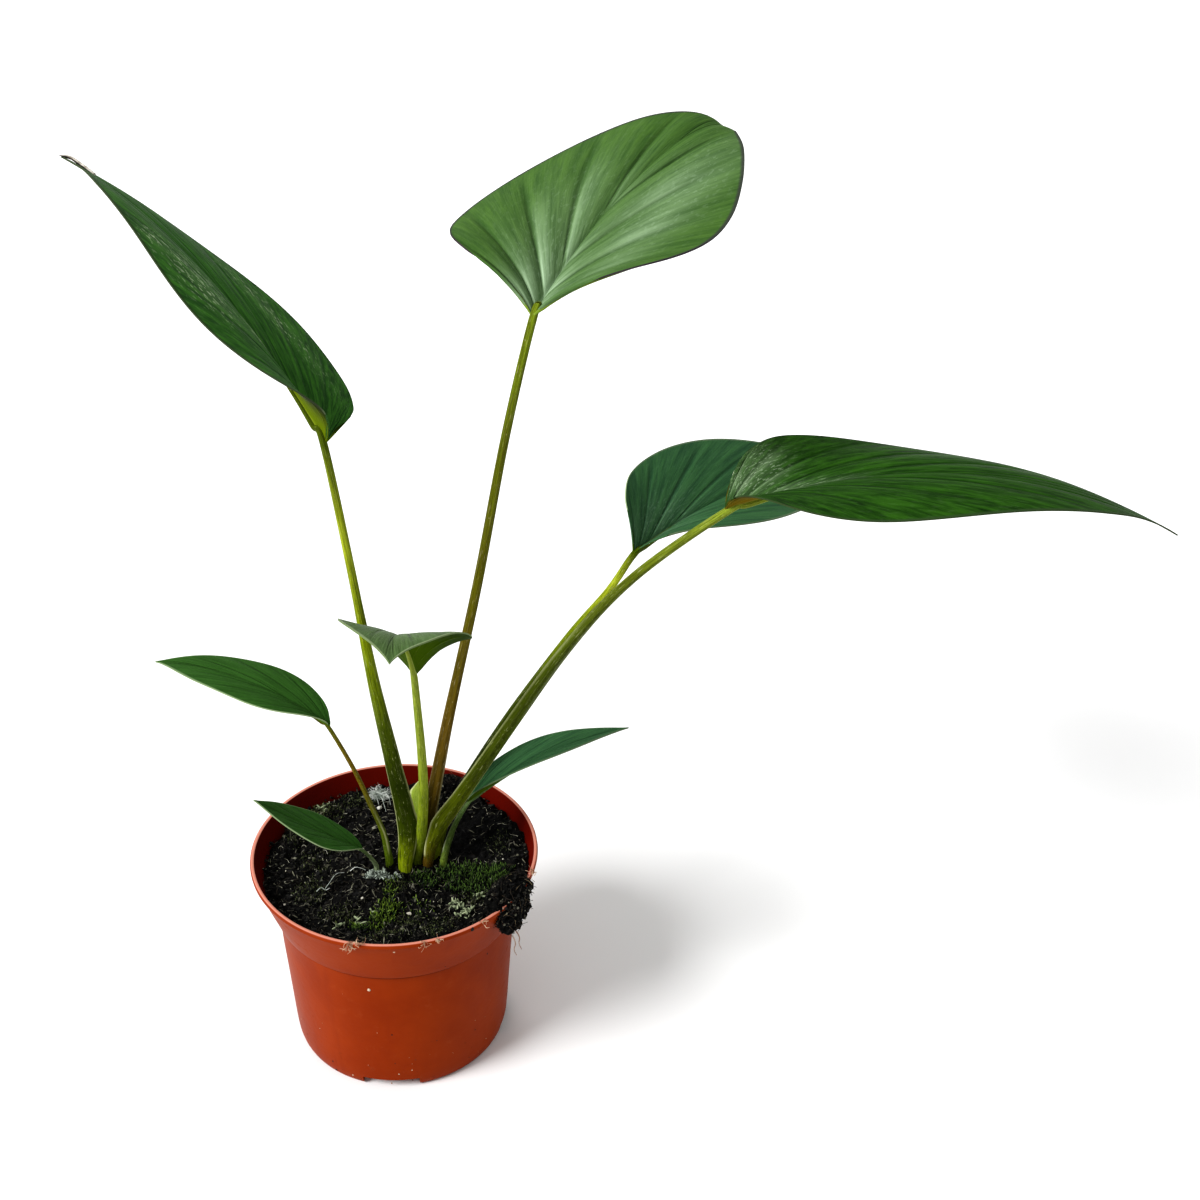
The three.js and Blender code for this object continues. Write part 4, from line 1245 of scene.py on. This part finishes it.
def make_crumbs(soil):
    dark = crumb_material("crumbs_dark", ["#020202", "#060504", "#0d0b09", "#1b1712"], 0.85)
    bits = crumb_material(
        "crumbs_mixed", ["#050504", "#0c0b09", "#1d1b14", "#34322a", "#6b6a58", "#a3a291"], 0.8)
    pale = crumb_material("crumbs_pale", ["#8f8a78", "#b9b4a4", "#dcd8cc"], 0.75)
    shreds = crumb_material("peat_shreds", ["#080706", "#1c1b15", "#403e34", "#86846f"], 0.75)
    lie(soil, "soil_crumbs_small", dark, *all_over(2600), (0.5, 1.4), seed=2)
    lie(soil, "soil_crumbs_large", dark, *all_over(380), (1.4, 3.2), seed=3)
    lie(soil, "soil_crumbs_mixed", bits, *all_over(1500), (0.3, 0.9), seed=4)
    lie(soil, "soil_chips", bits, *all_over(420), (0.7, 2), flat=0.25, rise=0.3, seed=5)
    lie(soil, "soil_shreds", shreds, *all_over(1050), (1, 3.2), flat=0.2, slim=0.24, rise=0.35, seed=10)
    lie(soil, "pale_bits", pale, *zip(*PALE_BITS), (1.3, 2.2), rise=0.4, seed=6)
    lie(soil, "pale_grit", pale, *all_over(90), (0.3, 0.8), rise=0.5, seed=7)

    places, _ = all_over_clods(240)
    count = len(places)
    size = dice.uniform(0.5, 1.8, count)[:, None] * dice.uniform(0.5, 1.2, (count, 3))
    turned = tossed(count, 1.5)
    piece = strewn("clod_crumbs", crumb_model(8), places, size, turned, dice.uniform(0, 1, count) ** 2)
    dressed(piece, "peat", 40, bits)


def make_clod_roots():
    """The mat of fine dark roots and fibres that holds the clods together."""
    for name, tones, rough, count, radius, length in (
            ("clod_roots_dark", ["#0a0806", "#1a1510", "#33291e"], 0.8, 110, 0.16, 5),
            ("clod_roots_pale", ["#3a2f22", "#6b5a42", "#9a8a68"], 0.75, 26, 0.1, 6)):
        places, outward = all_over_clods(count)
        along = unit(np.cross(outward, dice.normal(0, 1, outward.shape)))
        long = dice.uniform(0.3, 1, (len(places), 1)) * length
        lift = dice.uniform(0.1, 1.5, (len(places), 1))
        first = places - along * long / 2
        last = places + along * long / 2 + outward * lift - np.array([0, 0, 0.6])
        lines = np.stack([first, places + outward * lift * 0.8, last], 1)
        threads(name, lines, radius, "peat", crumb_material(name, tones, rough))


def make_fibres(soil):
    """Fine roots and peat fibres that lie on the soil or stand out of it."""
    for name, tones, rough, count, radius, length, rise in (
            ("soil_fibres_dark", ["#0e0b08", "#221c14", "#3f3628"], 0.8, 460, 0.14, 5, 0.9),
            ("soil_fibres_tan", ["#4c4a3c", "#8b8975", "#c9c7b6"], 0.7, 420, 0.13, 4, 1)):
        x, y = all_over(count, room=4)
        heading = dice.uniform(0, 2 * np.pi, len(x))
        long = dice.uniform(0.4, 1, len(x)) * length
        lines = []
        for step in (-0.5, 0, 0.5):
            a = x + step * long * np.cos(heading + step * 0.6)
            b = y + step * long * np.sin(heading + step * 0.6)
            up = soil_top(soil, a, b) + 0.15 + rise * dice.uniform(0, 1, len(x))
            lines.append(np.stack([a, b, up], 1))
        threads(name, np.stack(lines, 1), radius, "peat", crumb_material(name, tones, rough))


def make_growth(soil):
    """Moss of three kinds, frilled grey-green lichens, and a pale tuft by the lowest leaf's stalk."""
    shoot = (3, [(0, 0, 0.3), (0.1, 0.3, 0.5), (0.3, 0.7, 0.36), (0.7, 1, 0.08)])
    frill = (6, [(0, 0, 0.25), (0.15, 0.35, 0.7), (0.45, 0.65, 1.1), (0.9, 0.85, 0.9), (1.2, 1, 0.3)])
    for name, paints, patches, model, length, width, lean, flat in (
            ("moss_column", ("#050b02", "#1d350b", "#8aa53c"), BRIGHT_MOSS, shoot,
             (0.8, 4.2), (0.35, 0.75), 0.6, 1),
            ("moss_carpet", ("#030702", "#12260a", "#6a8a3c"), DEEP_MOSS, shoot,
             (1, 4.8), (0.3, 0.65), 0.5, 1),
            ("moss_dull", ("#040603", "#171d0d", "#6c7648"), DULL_MOSS, shoot,
             (0.6, 3), (0.3, 0.65), 0.8, 1),
            ("lichen_grey", ("#1a2013", "#4e5a40", "#a7b18e", 0.8), GREY_LICHEN, frill,
             (1.1, 2.8), (0.6, 1.3), 0.9, 0.3),
            ("lichen_tuft", ("#222824", "#5c665e", "#bcc6ba", 0.8), BLUE_TUFT, frill,
             (1.2, 3.2), (0.4, 1), 0.9, 0.3)):
        stand(soil, name, growth_material(name, *paints), patches, shoot_model(*model), length, width,
              lean, flat)


def make_threads():
    """The white fluff and its strands, rim fibres, and roots that hang down the wall."""
    white = crumb_material("fluff_white", ["#9aa39a", "#c9cfc8", "#eef0ec"], 0.8)
    root = crumb_material("root_pale", ["#8a6a58", "#b0917c", "#cdb8a4"], 0.6)
    tan = crumb_material("rim_fibre", ["#8f6a52", "#c09a7e", "#dec2a6"], 0.75)
    fluff = [line for one in WHITE_FLUFF for line in tuft(*one)]
    threads("white_fluff", fluff, 0.1, "peat", white)
    threads("white_strands", WHITE_STRANDS, 0.2, "peat", white)
    fibres = []
    for turn, height, *form in RIM_TUFTS:
        fibres += tuft((*polar(outer_radius(height), math.radians(turn)), height), *form)
    threads("rim_fibres", fibres, 0.15, "peat", tan)
    threads("hanging_roots", HANGING_ROOTS, 0.3, "peat", root)


def make_wall_specks():
    """Splashes of soil stuck to the outside of the pot, with fine ones scattered low on the wall."""
    low = 1.5 + 60 * dice.uniform(0, 1, FINE_SPECKS) ** 2
    fine = np.stack([dice.uniform(-180, 180, FINE_SPECKS), low, dice.uniform(0.35, 0.8, FINE_SPECKS),
                     dice.uniform(0, 1, FINE_SPECKS)], 1)
    turn, height, size, shade = np.vstack([WALL_SPECKS, fine]).T
    turn = np.radians(turn)
    places = np.stack([*polar(outer_radius(height), turn), height], 1)
    turned = turns(0 * turn, 0 * turn + np.pi / 2, turn)
    sizes = np.stack([size, size * 0.8, size * 0.35], 1)
    piece = strewn("wall_specks", crumb_model(9), places, sizes, turned, shade)
    speck = crumb_material("wall_specks", ["#120d09", "#3a1c10", "#7a4428", "#c08a68", "#e0d0b8"], 0.8)
    dressed(piece, "pot", 60, speck)


def make_perlite(soil):
    """One foamed white ball and its small pits."""
    x, y = PERLITE
    ball = added(bpy.ops.mesh.primitive_ico_sphere_add, subdivisions=4, radius=1)
    ball.name = "perlite_ball"
    middle = (x, y, soil_top(soil, [x], [y])[0] + 0.5)
    move_to(ball, (coordinates(ball) * (1.2, 1, 0.9) + middle) * MM)
    roughen(ball, "VORONOI", 0.7, 0.5, 0.7)
    mark(ball, shade=noise_by_place(coordinates(ball)))
    dressed(ball, "peat", 60, crumb_material("perlite", ["#b9b8ae", "#dddcd4"], 0.8))


def make_ground():
    peat = peat_material()
    soil = make_soil(peat)
    bpy.context.view_layer.update()
    make_clods(peat)
    make_crumbs(soil)
    make_clod_roots()
    make_fibres(soil)
    make_growth(soil)
    make_threads()
    make_wall_specks()
    make_perlite(soil)


# Studio

def make_studio():
    add_camera(8.3, 31.15, 1.3, (0, -0.58, 0.564), 1750 / 1200)
    floor = added(bpy.ops.mesh.primitive_plane_add, size=8)
    floor.name = "studio_floor"
    floor.data.materials.append(floor_material())
    add_light("key_light", "SUN", (-1.3, -1, 1.5), (0.70, 0.30, -0.643), 3.45, angle=math.radians(26))
    add_light("back_light", "AREA", (-0.2, 1.3, 1.3), (0.25, -1.3, -1), 6, shape="DISK", size=0.9)
    world = bpy.data.worlds.new("studio")
    world.use_nodes = True
    background = world.node_tree.nodes["Background"]
    background.inputs[0].default_value = (1, 1, 1, 1)
    background.inputs[1].default_value = 0.55
    scene = bpy.context.scene
    scene.world = world
    scene.view_settings.view_transform = "Standard"
    scene.view_settings.look = "Medium High Contrast"


# The whole plant

def make_plant():
    skins = {
        skin: (blade_material(f"leaf_{skin}", *upper), underside_material(f"leaf_{skin}_under", *lower),
               margin_material(f"leaf_{skin}_margin", *edge))
        for skin, (upper, lower, edge) in SKINS.items()
    }
    stems = {stem: stem_material("stalk_" + stem, *paints) for stem, paints in STEMS.items()}
    for leaf in LEAVES:
        make_blade(leaf, skins[leaf["skin"]])
        make_stalk(leaf, stems[leaf["stem"]])


make_studio()
make_plant()
make_dry_tip(LEAVES[0])
make_ligule()
make_pot(plastic_material())
make_ground()
